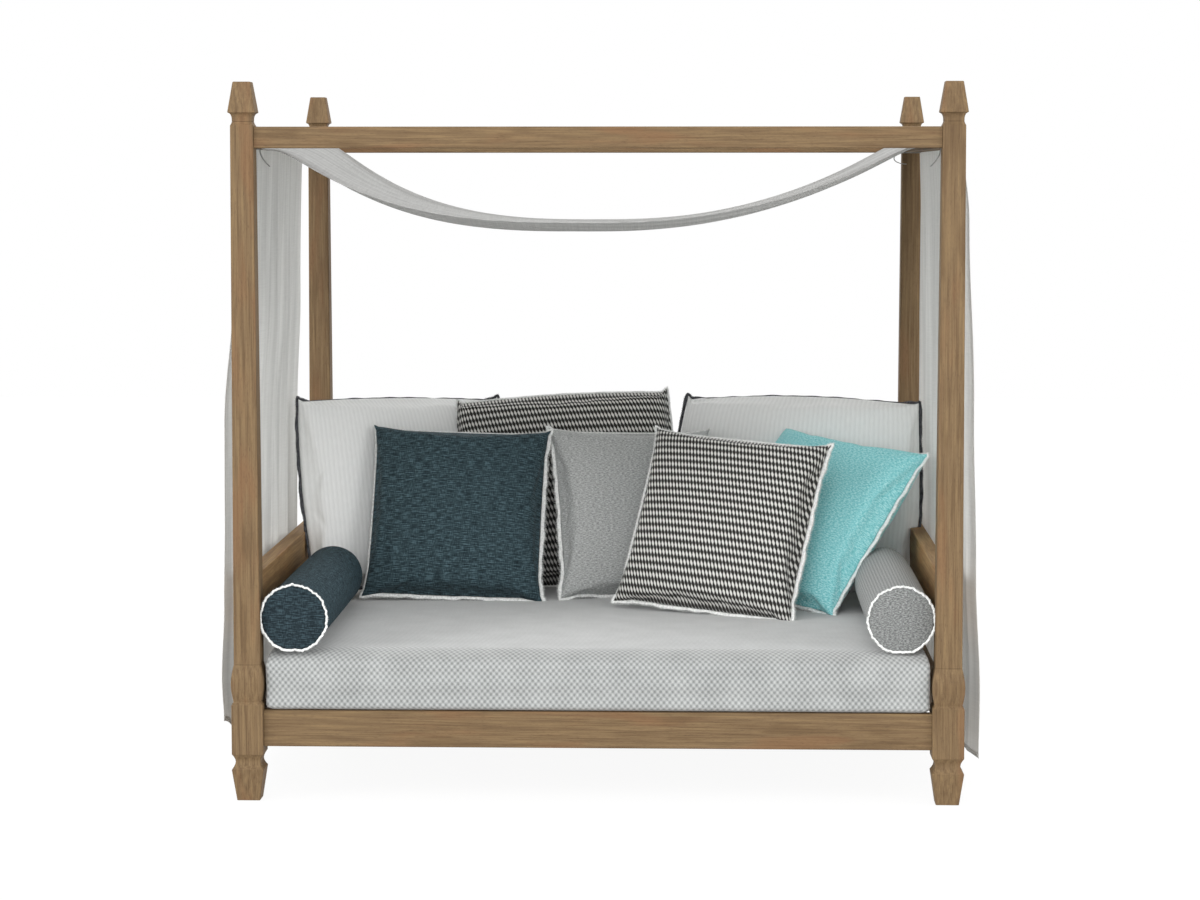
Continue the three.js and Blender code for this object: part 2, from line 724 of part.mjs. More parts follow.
const pressing = [
  mattressPress,
  ...Object.keys(sides).map((sideName) => bolsterSolid(sideName, fit)),
  ...Object.values(boards).map((board) => grown(board.body, fit)),
];
const pillowFinishes = {
  pillow_ribbed_left: 'ribbed',
  pillow_ribbed_right: 'ribbed',
  pillow_check_rear: 'check',
  pillow_check_front: 'check',
  pillow_grey: 'grey',
  pillow_navy: 'navy',
  pillow_aqua: 'aqua',
};
pillowPlaceShares.forEach((place) => {
  let pillow = pillowSolid(place, 0);
  pressing.forEach((other) => { pillow = pillow.subtract(other); });
  addPiece(place.name, pillow, pillowFinishes[place.name]);
  pressing.push(pillowSolid(place, fit));
});

// Cloth: a surface of two shares given some thickness along its own normal

function clothSolid(surface, steps, thick) {
  const step = 1e-3; // share over which the normal is measured
  const clamp = (share) => THREE.MathUtils.clamp(share, 0, 1);
  return twoSided((side, u, v) => {
    const du = surface(clamp(u + step), v).sub(surface(clamp(u - step), v));
    const dv = surface(u, clamp(v + step)).sub(surface(u, clamp(v - step)));
    return surface(u, v).addScaledVector(du.cross(dv).normalize(), side * thick / 2);
  }, steps.across, steps.down);
}

// Canopy: over each side rail's top, close down its inner face, then a hanging curve between them

const canopyHalfDepth = halfDepth - postHalfAt(canopyRailTop) - canopyEdgeGap;
const canopyRest = canopyRailTop + fit + clothThick / 2;
const canopyInnerX = halfWidth - railOuter - fit - clothThick / 2;

// Height of the sagging part: the rails' tops less a power curve, and less the fall beside each rail
function sagHeight(x) {
  const power = x < 0 ? sagPowers.left : sagPowers.right;
  const away = (canopyInnerX - Math.abs(x)) / hugReach;
  return canopyRest - sag * (1 - (Math.abs(x) / canopyInnerX) ** power) - hugDepth * away * Math.exp(1 - away);
}
function canopySurface(u, v) {
  const y = lerp(-canopyHalfDepth, canopyHalfDepth, v);
  const across = 2 * u - 1;
  const side = Math.sign(across) || 1;
  const inner = 1 - 2 * canopySteps.overRail / canopySteps.across;
  if (Math.abs(across) > inner) {
    const t = (Math.abs(across) - inner) / (1 - inner);
    return new THREE.Vector3(side * lerp(canopyInnerX, halfWidth + railOuter, t), y, canopyRest);
  }
  const bow = Math.sin(Math.PI / 2 * across / inner);
  const x = canopyInnerX * bow;
  const ruffle = ruffleHigh * (1 - bow ** 4) * (Math.cos(2 * Math.PI * ruffleCount * v + ruffleSlant * bow) - 1);
  return new THREE.Vector3(x, y, sagHeight(x) + ruffle);
}
addPiece('canopy_sheet', clothSolid(canopySurface, canopySteps, clothThick), 'canopy');

// Curtains: they carry on from the canopy's edges, down the rails' outer faces, and flare out, with folds that
// deepen towards the hem

function curtainSurface(sideName) {
  const cut = curtains[sideName];
  const rearY = (share) => bedDepth * share - halfDepth;
  return (u, v) => {
    const lifted = cut.lift * Math.exp(-((u / liftWideShare) ** 2));
    const hem = hemHeight + hemWave * Math.sin(2 * Math.PI * hemWaveCount * u) + lifted;
    const front = -canopyHalfDepth + curtainFrontInset * v;
    const rear = rearY(lerp(cut.reachShare, cut.footShare, Math.sqrt(v)));
    const flared = (cut.flare - foldDepth) * v ** cut.earlyFlare + foldDepth * foldTopShare * v;
    const foldWave = Math.min(1, v / foldStartShare) * Math.cos(2 * Math.PI * cut.folds * u);
    const out = fit + clothThick / 2 + flared + foldDepth * foldWave * lerp(foldTopShare, 1, v);
    return new THREE.Vector3(sides[sideName] * (halfWidth + railOuter + out), lerp(front, rear, u),
      lerp(canopyRest, hem, v));
  };
}
Object.keys(sides).forEach((sideName) => {
  const surface = curtainSurface(sideName);
  const wound = sideName === 'left' ? surface : (u, v) => surface(1 - u, v);
  addPiece(`curtain_${sideName}`, clothSolid(wound, curtainSteps, clothThick), 'canopy');
});

// Corner ties: a tape under the rail, up its inner face, with a loose tail

function tieSolid(sideName, endName) {
  const side = sides[sideName];
  const tail = tieTails[endName];
  const y = ends[endName] * (halfDepth - tieFromPost[endName]);
  const bottom = canopyRailTop - canopyRailHigh - fit - tieThick;
  const inner = halfWidth - railOuter - fit - tieThick;
  const under = block(
    [Math.min(side * inner, side * (halfWidth + railOuter)), y - tieWide / 2, bottom],
    [Math.max(side * inner, side * (halfWidth + railOuter)), y + tieWide / 2, bottom + tieThick],
  );
  const rise = block(
    [Math.min(side * inner, side * (inner + tieThick)), y - tieWide / 2, bottom],
    [Math.max(side * inner, side * (inner + tieThick)), y + tieWide / 2, bottom + tieRise],
  );
  const tape = (u, v) => {
    const bend = Math.PI * v;
    const reach = tail.drift * (tail.curled ? Math.sin(bend) : v * v);
    const fall = tail.drop * (tail.curled ? (1 - Math.cos(bend)) / 2 : v);
    return new THREE.Vector3(
      side * (inner + tieThick / 2 - reach),
      y + (u - 0.5) * tieWide * side,
      bottom + tieThick / 2 - fall,
    );
  };
  const strip = clothSolid(tape, { across: 1, down: tieTailSteps }, tieThick);
  return under.add(rise).add(strip);
}
Object.keys(ends).forEach((endName) => Object.keys(sides).forEach((sideName) => {
  addPiece(`corner_tie_${endName}_${sideName}`, tieSolid(sideName, endName), 'canopy');
}));

export default group;
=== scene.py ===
"""Outdoor daybed with canopy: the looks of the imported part.

The teak frame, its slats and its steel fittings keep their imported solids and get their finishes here. The
mattress, bolsters, pillows, canopy cloth, curtains and corner ties are made anew as cushions and cloths, and
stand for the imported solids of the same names. Lengths are in metres unless a name ends in _mm. The frame is
the part's own: +X to the right as seen from the front, +Y to the back, +Z up, and the origin on the floor
under the bed.
"""

import logging
import math
from dataclasses import dataclass
from enum import Enum

import bpy
import numpy as np
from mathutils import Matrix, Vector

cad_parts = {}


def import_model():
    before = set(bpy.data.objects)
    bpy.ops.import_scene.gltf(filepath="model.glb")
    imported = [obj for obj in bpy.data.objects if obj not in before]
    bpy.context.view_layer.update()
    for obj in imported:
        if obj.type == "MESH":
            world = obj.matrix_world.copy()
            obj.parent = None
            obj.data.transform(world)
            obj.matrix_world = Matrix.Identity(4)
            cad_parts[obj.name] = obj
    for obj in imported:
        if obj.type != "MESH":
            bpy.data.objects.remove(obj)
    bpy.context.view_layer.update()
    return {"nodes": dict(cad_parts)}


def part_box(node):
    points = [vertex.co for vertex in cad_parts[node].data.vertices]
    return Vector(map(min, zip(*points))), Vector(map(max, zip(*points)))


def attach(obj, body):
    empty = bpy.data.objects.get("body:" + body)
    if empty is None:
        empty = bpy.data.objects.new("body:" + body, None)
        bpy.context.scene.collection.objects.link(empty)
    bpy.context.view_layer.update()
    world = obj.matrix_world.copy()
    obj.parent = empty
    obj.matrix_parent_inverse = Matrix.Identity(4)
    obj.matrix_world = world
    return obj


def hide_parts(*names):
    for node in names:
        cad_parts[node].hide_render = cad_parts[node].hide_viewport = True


log = logging.getLogger("daybed")

Tree = bpy.types.NodeTree
Socket = bpy.types.NodeSocket

MM = 0.001
TURN = 2 * math.pi
UV_NAME = "weave"
BODY = "root"


# Meshes and nodes


def linear(code: str) -> tuple[float, float, float, float]:
    """Turn an sRGB colour into linear light.

    Args:
        code: The colour as six hex digits.

    Returns:
        Red, green, blue and alpha.
    """
    parts = [int(code[i : i + 2], 16) / 255 for i in (0, 2, 4)]
    red, green, blue = (p / 12.92 if p <= 0.04045 else ((p + 0.055) / 1.055) ** 2.4 for p in parts)
    return (red, green, blue, 1.0)


def configure(target: object, **values: object) -> None:
    """Set several properties of one Blender object."""
    for name, value in values.items():
        setattr(target, name, value)


def add(
    tree: Tree,
    kind: str,
    inputs: dict | None = None,
    stops: list[tuple[float, str]] | None = None,
    output: int | str = 0,
    **settings: object,
) -> Socket | None:
    """Add a shader node with its settings and links.

    Args:
        tree: The node tree.
        kind: The node's type.
        inputs: Socket name or number to a value, or to the output socket that feeds it.
        stops: Place and sRGB colour of each stop, on a colour ramp.
        output: Name or number of the output socket that is wanted.
        settings: Properties of the node.

    Returns:
        That output socket, or None from a node that ends the tree.
    """
    node = tree.nodes.new(kind)
    configure(node, **settings)
    for key, value in (inputs or {}).items():
        if isinstance(value, Socket):
            tree.links.new(value, node.inputs[key])
        else:
            node.inputs[key].default_value = value
    if stops:
        elements = node.color_ramp.elements
        while len(elements) < len(stops):
            elements.new(1.0)
        for element, (place, code) in zip(elements, stops):
            element.position = place
            element.color = linear(code)
    return node.outputs[output] if node.outputs else None


def cleared(owner: bpy.types.Material | bpy.types.World) -> Tree:
    """Turn a material's or world's nodes on and empty its tree.

    Args:
        owner: The material or world.

    Returns:
        Its empty node tree.
    """
    owner.use_nodes = True
    owner.node_tree.nodes.clear()
    return owner.node_tree


def unit(vectors: np.ndarray) -> np.ndarray:
    """Scale each vector to length one."""
    return vectors / np.maximum(np.linalg.norm(vectors, axis=-1, keepdims=True), 1e-12)


def grid_faces(rows: int, columns: int, closed: bool = False, looped: bool = False) -> np.ndarray:
    """Quads between the points of a grid that is kept row by row.

    Args:
        rows: Number of rows of points.
        columns: Number of points in a row.
        closed: Whether the last column joins the first one.
        looped: Whether the last row joins the first one.

    Returns:
        Point numbers, four a face, whose winding looks from the side where the rows run up and the columns
        run to the right.
    """
    index = np.arange(rows * columns).reshape(rows, columns)
    if looped:
        index = np.vstack([index, index[:1]])
    if closed:
        index = np.hstack([index, index[:, :1]])
    corners = (index[:-1, :-1], index[:-1, 1:], index[1:, 1:], index[1:, :-1])
    return np.stack(corners, axis=-1).reshape(-1, 4)


def perimeter(rows: int, columns: int) -> np.ndarray:
    """Numbers of the outer points of a grid, counter-clockwise where rows run up and columns run right."""
    index = np.arange(rows * columns).reshape(rows, columns)
    return np.concatenate([index[0, :-1], index[:-1, -1], index[-1, :0:-1], index[:0:-1, 0]])


def capped(
    base: np.ndarray, loops: np.ndarray, roof: np.ndarray, outward: int = 1
) -> tuple[np.ndarray, list[np.ndarray]]:
    """Join two grids of the same shape by loops of points between their outer points.

    Args:
        base: Rows by columns by three, the end that the loops start from.
        loops: Levels by outer points by three, strictly between the two grids.
        roof: The other end.
        outward: 1 where the roof's own winding faces outward, -1 where it faces inward.

    Returns:
        All points, and the faces of the base, the side and the roof.
    """
    rows, columns = base.shape[:2]
    rim = perimeter(rows, columns)
    offset = rows * columns + loops.shape[0] * len(rim)
    inner = rows * columns + np.arange(loops.shape[0] * len(rim)).reshape(-1, len(rim))
    levels = np.vstack([rim, inner, offset + rim])
    side = levels.reshape(-1)[grid_faces(len(levels), len(rim), closed=True)]
    cover = grid_faces(rows, columns)
    points = np.vstack([base.reshape(-1, 3), loops.reshape(-1, 3), roof.reshape(-1, 3)])
    if outward < 0:
        return points, [cover, side[:, ::-1], (offset + cover)[:, ::-1]]
    return points, [cover[:, ::-1], side, offset + cover]


def make_piece(
    name: str,
    points: np.ndarray,
    faces: list[np.ndarray],
    material: bpy.types.Material,
    uv: list[np.ndarray] | None = None,
) -> bpy.types.Object:
    """Make a smooth mesh object at the origin from points that are in the part's frame.

    Args:
        name: The piece's name.
        points: One row of three coordinates for each point.
        faces: Arrays of point numbers, each with its own number of corners a face.
        material: The piece's finish.
        uv: For each array of faces, the weave coordinates of its corners, in metres.

    Returns:
        The linked object.
    """
    mesh = bpy.data.meshes.new(name)
    mesh.from_pydata(points.tolist(), [], [face for part in faces for face in part.tolist()])
    mesh.polygons.foreach_set("use_smooth", np.ones(len(mesh.polygons), dtype=bool))
    if uv is not None:
        layer = mesh.uv_layers.new(name=UV_NAME)
        layer.data.foreach_set("uv", np.concatenate([part.reshape(-1) for part in uv]).astype(np.float32))
    mesh.materials.append(material)
    mesh.update()
    return link(name, mesh)


def link(name: str, data: bpy.types.ID) -> bpy.types.Object:
    """Put a mesh, lamp or camera into the scene.

    Args:
        name: The object's name.
        data: The mesh, lamp or camera.

    Returns:
        The linked object.
    """
    thing = bpy.data.objects.new(name, data)
    bpy.context.scene.collection.objects.link(thing)
    return thing


def coordinates(mesh: bpy.types.Mesh) -> np.ndarray:
    """Read a mesh's points as rows of three numbers."""
    flat = np.empty(len(mesh.vertices) * 3)
    mesh.vertices.foreach_get("co", flat)
    return flat.reshape(-1, 3)


def set_coordinates(piece: bpy.types.Object, points: np.ndarray) -> None:
    """Write a piece's points back."""
    piece.data.vertices.foreach_set("co", points.astype(np.float32).ravel())
    piece.data.update()


def arc_length(points: np.ndarray) -> np.ndarray:
    """Distance travelled along a line of points, from nought at the first one."""
    steps = np.linalg.norm(np.diff(points, axis=0), axis=1)
    return np.concatenate([[0.0], np.cumsum(steps)])


def rings_round(line: np.ndarray, wide: np.ndarray, thick: np.ndarray, sides: int) -> np.ndarray:
    """A ring of points round each point of a line: point + wide * cos(angle) + thick * sin(angle).

    Args:
        line: Points of the line.
        wide: The oval's half width at each point, as a vector.
        thick: Its half thickness at each point, as a vector.
        sides: Number of points in a ring.

    Returns:
        Line points by ring points by three.
    """
    angle = np.arange(sides)[:, None] * TURN / sides
    return line[:, None] + wide[:, None] * np.cos(angle) + thick[:, None] * np.sin(angle)


def ripples(place: np.ndarray, drift: np.ndarray, waves: list[tuple[float, float, float]]) -> np.ndarray:
    """Uneven folds: a sum of cosines, each with its own number of waves, height and wander.

    Args:
        place: Share across the folds, from 0 to 1.
        drift: Share along the folds, from 0 to 1.
        waves: For each cosine, its number of waves across, its height, and how far it wanders sideways along
            the folds, in waves.

    Returns:
        The height at each place.
    """
    swing_apart, swing_rate, phase_apart = 2.1, 2.6, 1.7
    total = np.zeros(np.broadcast(place, drift).shape)
    for number, (count, height, wander) in enumerate(waves):
        swing = wander * np.sin(swing_apart * number + swing_rate * drift)
        total = total + height * np.cos(TURN * (count * place + swing) + phase_apart * number)
    return total


# Finishes


class Grain(Enum):
    """The axis that a timber's grain runs along."""

    X = 0
    Y = 1
    Z = 2


@dataclass(frozen=True)
class Finish:
    """A surface finish. A subclass says how it is shaded."""

    name: str

    def material(self) -> bpy.types.Material:
        """Return this finish's material, made on the first call."""
        found = bpy.data.materials.get(self.name)
        if found is None:
            found = bpy.data.materials.new(self.name)
            tree = cleared(found)
            add(tree, "ShaderNodeOutputMaterial", {"Surface": self.shade(tree)})
        return found

    def shade(self, tree: Tree) -> Socket:
        """Build the surface shader.

        Args:
            tree: The material's empty node tree.

        Returns:
            The shader's output.
        """
        raise NotImplementedError

    def mottle(self, tree: Tree, cell_mm: float, detail: float) -> Socket:
        """Noise from 0 to 1 in the object's own space.

        Args:
            tree: The material's node tree.
            cell_mm: Size of the noise's cells.
            detail: Its number of finer layers.

        Returns:
            The noise.
        """
        place = add(tree, "ShaderNodeTexCoord", output="Object")
        cells = {"Vector": place, "Scale": 1 / (cell_mm * MM), "Detail": detail}
        return add(tree, "ShaderNodeTexNoise", cells)


@dataclass(frozen=True)
class WeatheredTeak(Finish):
    """Sawn and sanded teak left outdoors for a season: matt, greyed brown, with straight darker grain.

    The eye sees soft bands along the timber, fine fibres, short dark pores and here and there a ruddy patch.
    Each pattern's size is that of its cells, across the grain and along it.
    """

    grain: Grain = Grain.Z
    body: str = "735D41"
    pale: str = "856D4B"
    dark: str = "5D472D"
    ruddy: str = "7A583A"
    pore: str = "4E3A28"
    ring_mm: tuple[float, float] = (22.0, 748.0)
    fibre_mm: tuple[float, float] = (4.0, 160.0)
    patch_mm: tuple[float, float] = (55.0, 320.0)
    shadow_mm: tuple[float, float] = (34.0, 210.0)
    pore_mm: tuple[float, float] = (0.9, 14.4)

    def cells(self, tree: Tree, size_mm: tuple[float, float]) -> Socket:
        """Object coordinates scaled so that one cell of a pattern is one unit each way.

        Args:
            tree: The material's node tree.
            size_mm: The cell's size across the grain and along it.

        Returns:
            The scaled coordinates.
        """
        scale = [1 / (size_mm[0] * MM)] * 3
        scale[self.grain.value] = 1 / (size_mm[1] * MM)
        place = add(tree, "ShaderNodeTexCoord", output="Object")
        return add(tree, "ShaderNodeMapping", {"Vector": place, "Scale": scale})

    def noise(self, tree: Tree, size_mm: tuple[float, float], detail: float) -> Socket:
        """Noise from 0 to 1 whose cells follow the grain."""
        place = self.cells(tree, size_mm)
        return add(tree, "ShaderNodeTexNoise", {"Vector": place, "Scale": 1.0, "Detail": detail})

    def patches(
        self,
        tree: Tree,
        noise: Socket,
        spread: tuple[float, float],
        most: float,
        easing: str = "SMOOTHSTEP",
    ) -> Socket:
        """How much of another tone shows: none where the noise is low, rising over a spread of its values.

        Args:
            tree: The material's node tree.
            noise: The noise that places the patches.
            spread: Its values where the patches begin and where they are full.
            most: Share of the tone in a full patch.
            easing: How it rises between them.

        Returns:
            The share of the tone.
        """
        limits = {"Value": noise, "From Min": spread[0], "From Max": spread[1], "To Max": most}
        return add(tree, "ShaderNodeMapRange", limits, interpolation_type=easing)

    def shade(self, tree: Tree) -> Socket:
        """Lay rings, fibres, ruddy and dark patches and pores on the body; fibres and pores give relief."""
        band = {"Scale": TURN / 10, "Distortion": 7.0, "Detail": 3.0, "Detail Scale": 0.7}
        band["Vector"] = self.cells(tree, self.ring_mm)
        rings = add(tree, "ShaderNodeTexWave", band, output="Fac", bands_direction="DIAGONAL")
        fibres = self.noise(tree, self.fibre_mm, 4.0)
        ring_stops = [(0.05, self.dark), (0.45, self.body), (1.0, self.pale)]
        fibre_stops = [(0.34, self.dark), (0.5, self.body), (0.64, self.pale)]
        ruddiness = self.patches(tree, self.noise(tree, self.patch_mm, 2.0), (0.5, 0.68), 0.55)
        shadows = self.patches(tree, self.noise(tree, self.shadow_mm, 3.0), (0.52, 0.7), 0.6)
        pores = self.patches(tree, self.noise(tree, self.pore_mm, 1.0), (0.6, 0.72), 0.6, "LINEAR")
        colour = linear(self.body)
        for share, tone in (
            (0.5, add(tree, "ShaderNodeValToRGB", {"Fac": rings}, ring_stops)),
            (0.6, add(tree, "ShaderNodeValToRGB", {"Fac": fibres}, fibre_stops)),
            (ruddiness, linear(self.ruddy)),
            (shadows, linear(self.dark)),
            (pores, linear(self.pore)),
        ):
            colour = add(tree, "ShaderNodeMix", {0: share, 6: colour, 7: tone}, output=2, data_type="RGBA")
        relief = add(tree, "ShaderNodeMath", {0: fibres, 1: pores}, operation="SUBTRACT")
        bump = add(tree, "ShaderNodeBump", {"Height": relief, "Strength": 0.35, "Distance": 0.4 * MM})
        surface = {"Base Color": colour, "Roughness": 0.68, "Specular IOR Level": 0.35, "Normal": bump}
        return add(tree, "ShaderNodeBsdfPrincipled", surface)


@dataclass(frozen=True)
class ZincPlate(Finish):
    """Zinc-plated pressed steel: a dull grey metal with a faint mottle, roughened by the plating."""

    tone: str = "A9ACAF"
    spangle_mm: float = 9.0

    def shade(self, tree: Tree) -> Socket:
        """Grey metal whose roughness follows the plating's mottle."""
        spangle = self.mottle(tree, self.spangle_mm, 3.0)
        limits = {"Value": spangle, "From Min": 0.3, "From Max": 0.7, "To Min": 0.34, "To Max": 0.52}
        rough = add(tree, "ShaderNodeMapRange", limits)
        surface = {"Base Color": linear(self.tone), "Metallic": 1.0, "Roughness": rough}
        return add(tree, "ShaderNodeBsdfPrincipled", surface)


@dataclass(frozen=True)
class CottonYarn(Finish):
    """Loose cotton yarn of a frayed edge: matt and soft, a little uneven in tone."""

    body: str = "F6F7F5"
    low: str = "DADCDA"
    fleck_mm: float = 6.0

    def shade(self, tree: Tree) -> Socket:
        """Uneven matt yarn."""
        fleck = self.mottle(tree, self.fleck_mm, 2.0)
        tone = add(tree, "ShaderNodeValToRGB", {"Fac": fleck}, [(0.35, self.low), (0.6, self.body)])
        surface = {"Base Color": tone, "Roughness": 0.95, "Specular IOR Level": 0.15}
        surface |= {"Sheen Weight": 0.2, "Sheen Roughness": 0.5}
        return add(tree, "ShaderNodeBsdfPrincipled", surface)


@dataclass(frozen=True)
class Weave(Finish):
    """A woven cover that is drawn on the piece's own weave coordinates."""

    relief_mm: float = 0.5
    sheen: float = 0.15

    def thread_place(self, tree: Tree) -> tuple[Socket, Socket]:
        """Weave coordinates in metres, across the cloth and along it."""
        across = add(tree, "ShaderNodeSeparateXYZ", {0: add(tree, "ShaderNodeUVMap", uv_map=UV_NAME)})
        return across, across.node.outputs[1]

    def cells(self, tree: Tree, across_mm: float, along_mm: float) -> Socket:
        """Noise from 0 to 1 in cells on the cloth.

        Args:
            tree: The material's node tree.
            across_mm: A cell's size across the cloth.
            along_mm: Its size along the cloth.

        Returns:
            The noise.
        """
        place = add(tree, "ShaderNodeUVMap", uv_map=UV_NAME)
        scale = (1 / (across_mm * MM), 1 / (along_mm * MM), 1.0)
        scaled = add(tree, "ShaderNodeMapping", {"Vector": place, "Scale": scale})
        return add(tree, "ShaderNodeTexNoise", {"Vector": scaled, "Scale": 1.0, "Detail": 2.0})

    def wave(self, tree: Tree, place: Socket, period_mm: float) -> Socket:
        """Sine of a coordinate in metres, with one wave every period_mm."""
        turns = add(tree, "ShaderNodeMath", {0: place, 1: TURN / (period_mm * MM)}, operation="MULTIPLY")
        return add(tree, "ShaderNodeMath", {0: turns}, operation="SINE")

    def mixed(self, tree: Tree, parts: list[tuple[Socket, float]]) -> Socket:
        """Weighted sum of several values.

        Args:
            tree: The material's node tree.
            parts: Each value with its weight.

        Returns:
            The sum.
        """
        total = 0.0
        for value, weight in parts:
            total = add(tree, "ShaderNodeMath", {0: value, 1: weight, 2: total}, operation="MULTIPLY_ADD")
        return total

    def cover(self, tree: Tree, colour: Socket, height: Socket) -> Socket:
        """Matt cloth shader.

        Args:
            tree: The material's node tree.
            colour: The cloth's colour.
            height: The height of its threads.

        Returns:
            The shader.
        """
        threads = {"Height": height, "Strength": 0.6, "Distance": self.relief_mm * MM}
        bump = add(tree, "ShaderNodeBump", threads)
        surface = {"Base Color": colour, "Roughness": 0.92, "Specular IOR Level": 0.2, "Normal": bump}
        surface |= {"Sheen Weight": self.sheen, "Sheen Roughness": 0.5}
        return add(tree, "ShaderNodeBsdfPrincipled", surface)


@dataclass(frozen=True)
class BasketCheck(Weave):
    """Outdoor basket weave: small pale and grey cells in a checker, each a bundle of threads."""

    pale: str = "C0C2C1"
    grey: str = "717473"
    cell_mm: tuple[float, float] = (8.2, 9.8)
    fuzz_mm: float = 3.0
    mottle_mm: float = 90.0

    def shade(self, tree: Tree) -> Socket:
        """Product of two sines gives the checker, pale cells standing proud."""
        waves = [self.wave(tree, at, 2 * size) for at, size in zip(self.thread_place(tree), self.cell_mm)]
        cell = add(tree, "ShaderNodeMath", {0: waves[0], 1: waves[1]}, operation="MULTIPLY")
        fuzz = self.cells(tree, self.fuzz_mm, self.fuzz_mm)
        clouds = self.cells(tree, self.mottle_mm, self.mottle_mm)
        shares = self.mixed(tree, [(cell, 0.34), (fuzz, 0.5), (clouds, 0.35)])
        tone = add(tree, "ShaderNodeValToRGB", {"Fac": shares}, [(0.0, self.grey), (0.9, self.pale)])
        return self.cover(tree, tone, self.mixed(tree, [(cell, 0.5), (fuzz, 0.35)]))


@dataclass(frozen=True)
class RibbedCanvas(Weave):
    """Off-white canvas with soft lengthwise ribs, slightly uneven."""

    pale: str = "FAFBFA"
    grey: str = "EEEFEE"
    rib_mm: float = 14.0
    thread_mm: tuple[float, float] = (3.2, 22.0)

    def shade(self, tree: Tree) -> Socket:
        """Ribs as a sine across the cloth, broken by threads."""
        rib = self.wave(tree, self.thread_place(tree)[0], self.rib_mm)
        height = self.mixed(tree, [(rib, 0.22), (self.cells(tree, *self.thread_mm), 0.9)])
        tone = add(tree, "ShaderNodeValToRGB", {"Fac": height}, [(0.1, self.grey), (0.8, self.pale)])
        return self.cover(tree, tone, height)


@dataclass(frozen=True)
class BandedCheck(Weave):
    """Charcoal and white toothed check: pale and dark bands crossed by slanted ribs of the other colour."""

    white: str = "DCDBD7"
    charcoal: str = "2B2A28"
    band_mm: float = 22.0
    rib_mm: float = 10.6
    slant: float = 0.35
    fuzz_mm: float = 2.4

    def shade(self, tree: Tree) -> Socket:
        """Add a band wave along and a slanted rib wave across, then cut the sum into two colours."""
        across, along = self.thread_place(tree)
        band = self.wave(tree, along, self.band_mm)
        slanted = self.mixed(tree, [(across, 1.0), (along, self.slant)])
        rib = self.wave(tree, slanted, self.rib_mm)
        fuzz = self.cells(tree, self.fuzz_mm, self.fuzz_mm)
        weight = self.mixed(tree, [(band, 0.5), (rib, 0.6), (fuzz, 0.5)])
        limits = {"Value": weight, "From Min": 0.05, "From Max": 0.9}
        share = add(tree, "ShaderNodeMapRange", limits, interpolation_type="SMOOTHSTEP")
        tones = {0: share, 6: linear(self.charcoal), 7: linear(self.white)}
        colour = add(tree, "ShaderNodeMix", tones, output=2, data_type="RGBA")
        return self.cover(tree, colour, self.mixed(tree, [(rib, 0.3), (fuzz, 0.7)]))


@dataclass(frozen=True)
class SlubTweed(Weave):
    """Plain weave of slubby mixed yarn: flecks of three tones, longer along the weft than across it."""

    dark: str = "18262C"
    body: str = "324248"
    pale: str = "5C757C"
    slub_mm: float = 24.0
    yarn_mm: float = 2.6
    spread: float = 0.12

    def shade(self, tree: Tree) -> Socket:
        """Read the threads' height through a ramp of the yarn's tones."""
        height = self.threads(tree)
        stops = [(0.5 - self.spread, self.dark), (0.5, self.body), (0.5 + self.spread, self.pale)]
        return self.cover(tree, add(tree, "ShaderNodeValToRGB", {"Fac": height}, stops), height)

    def threads(self, tree: Tree) -> Socket:
        """Height of the threads: a sum of weft slubs and shorter warp slubs.

        Args:
            tree: The material's node tree.

        Returns:
            The height.
        """
        weft = self.cells(tree, self.slub_mm, self.yarn_mm)
        warp = self.cells(tree, self.yarn_mm, self.slub_mm * 0.6)
        return self.mixed(tree, [(weft, 0.68), (warp, 0.32)])


@dataclass(frozen=True)
class RibbedTweed(SlubTweed):
    """The same yarn woven with fine ribs along the roll."""

    rib_mm: float = 9.0
    spread: float = 0.2

    def threads(self, tree: Tree) -> Socket:
        """Slubs along the roll, crossed by a rib wave."""
        rib = self.wave(tree, self.thread_place(tree)[0], self.rib_mm)
        return self.mixed(tree, [(rib, 0.09), (self.cells(tree, self.yarn_mm, self.slub_mm), 0.95)])


@dataclass(frozen=True)
class Voile(Weave):
    """Thin plain-woven outdoor voile: soft light grey, matt, with faint uneven threads both ways."""

    relief_mm: float = 0.3
    body: str = "F3F3F1"
    low: str = "DCDCDA"
    thread_mm: float = 3.0
    streak_mm: tuple[float, float] = (34.0, 900.0)
    through: float = 0.45

    def shade(self, tree: Tree) -> Socket:
        """Fine threads both ways and broad streaks along the cloth, and a share of the light through it."""
        down = self.cells(tree, self.thread_mm, self.thread_mm * 60)
        across = self.cells(tree, self.thread_mm * 30, self.thread_mm)
        height = self.mixed(tree, [(down, 0.6), (across, 0.4)])
        shares = self.mixed(tree, [(height, 0.45), (self.cells(tree, *self.streak_mm), 0.55)])
        tone = add(tree, "ShaderNodeValToRGB", {"Fac": shares}, [(0.36, self.low), (0.62, self.body)])
        passed = add(tree, "ShaderNodeBsdfTranslucent", {"Color": tone})
        sides = {0: self.through, 1: self.cover(tree, tone, height), 2: passed}
        return add(tree, "ShaderNodeMixShader", sides)


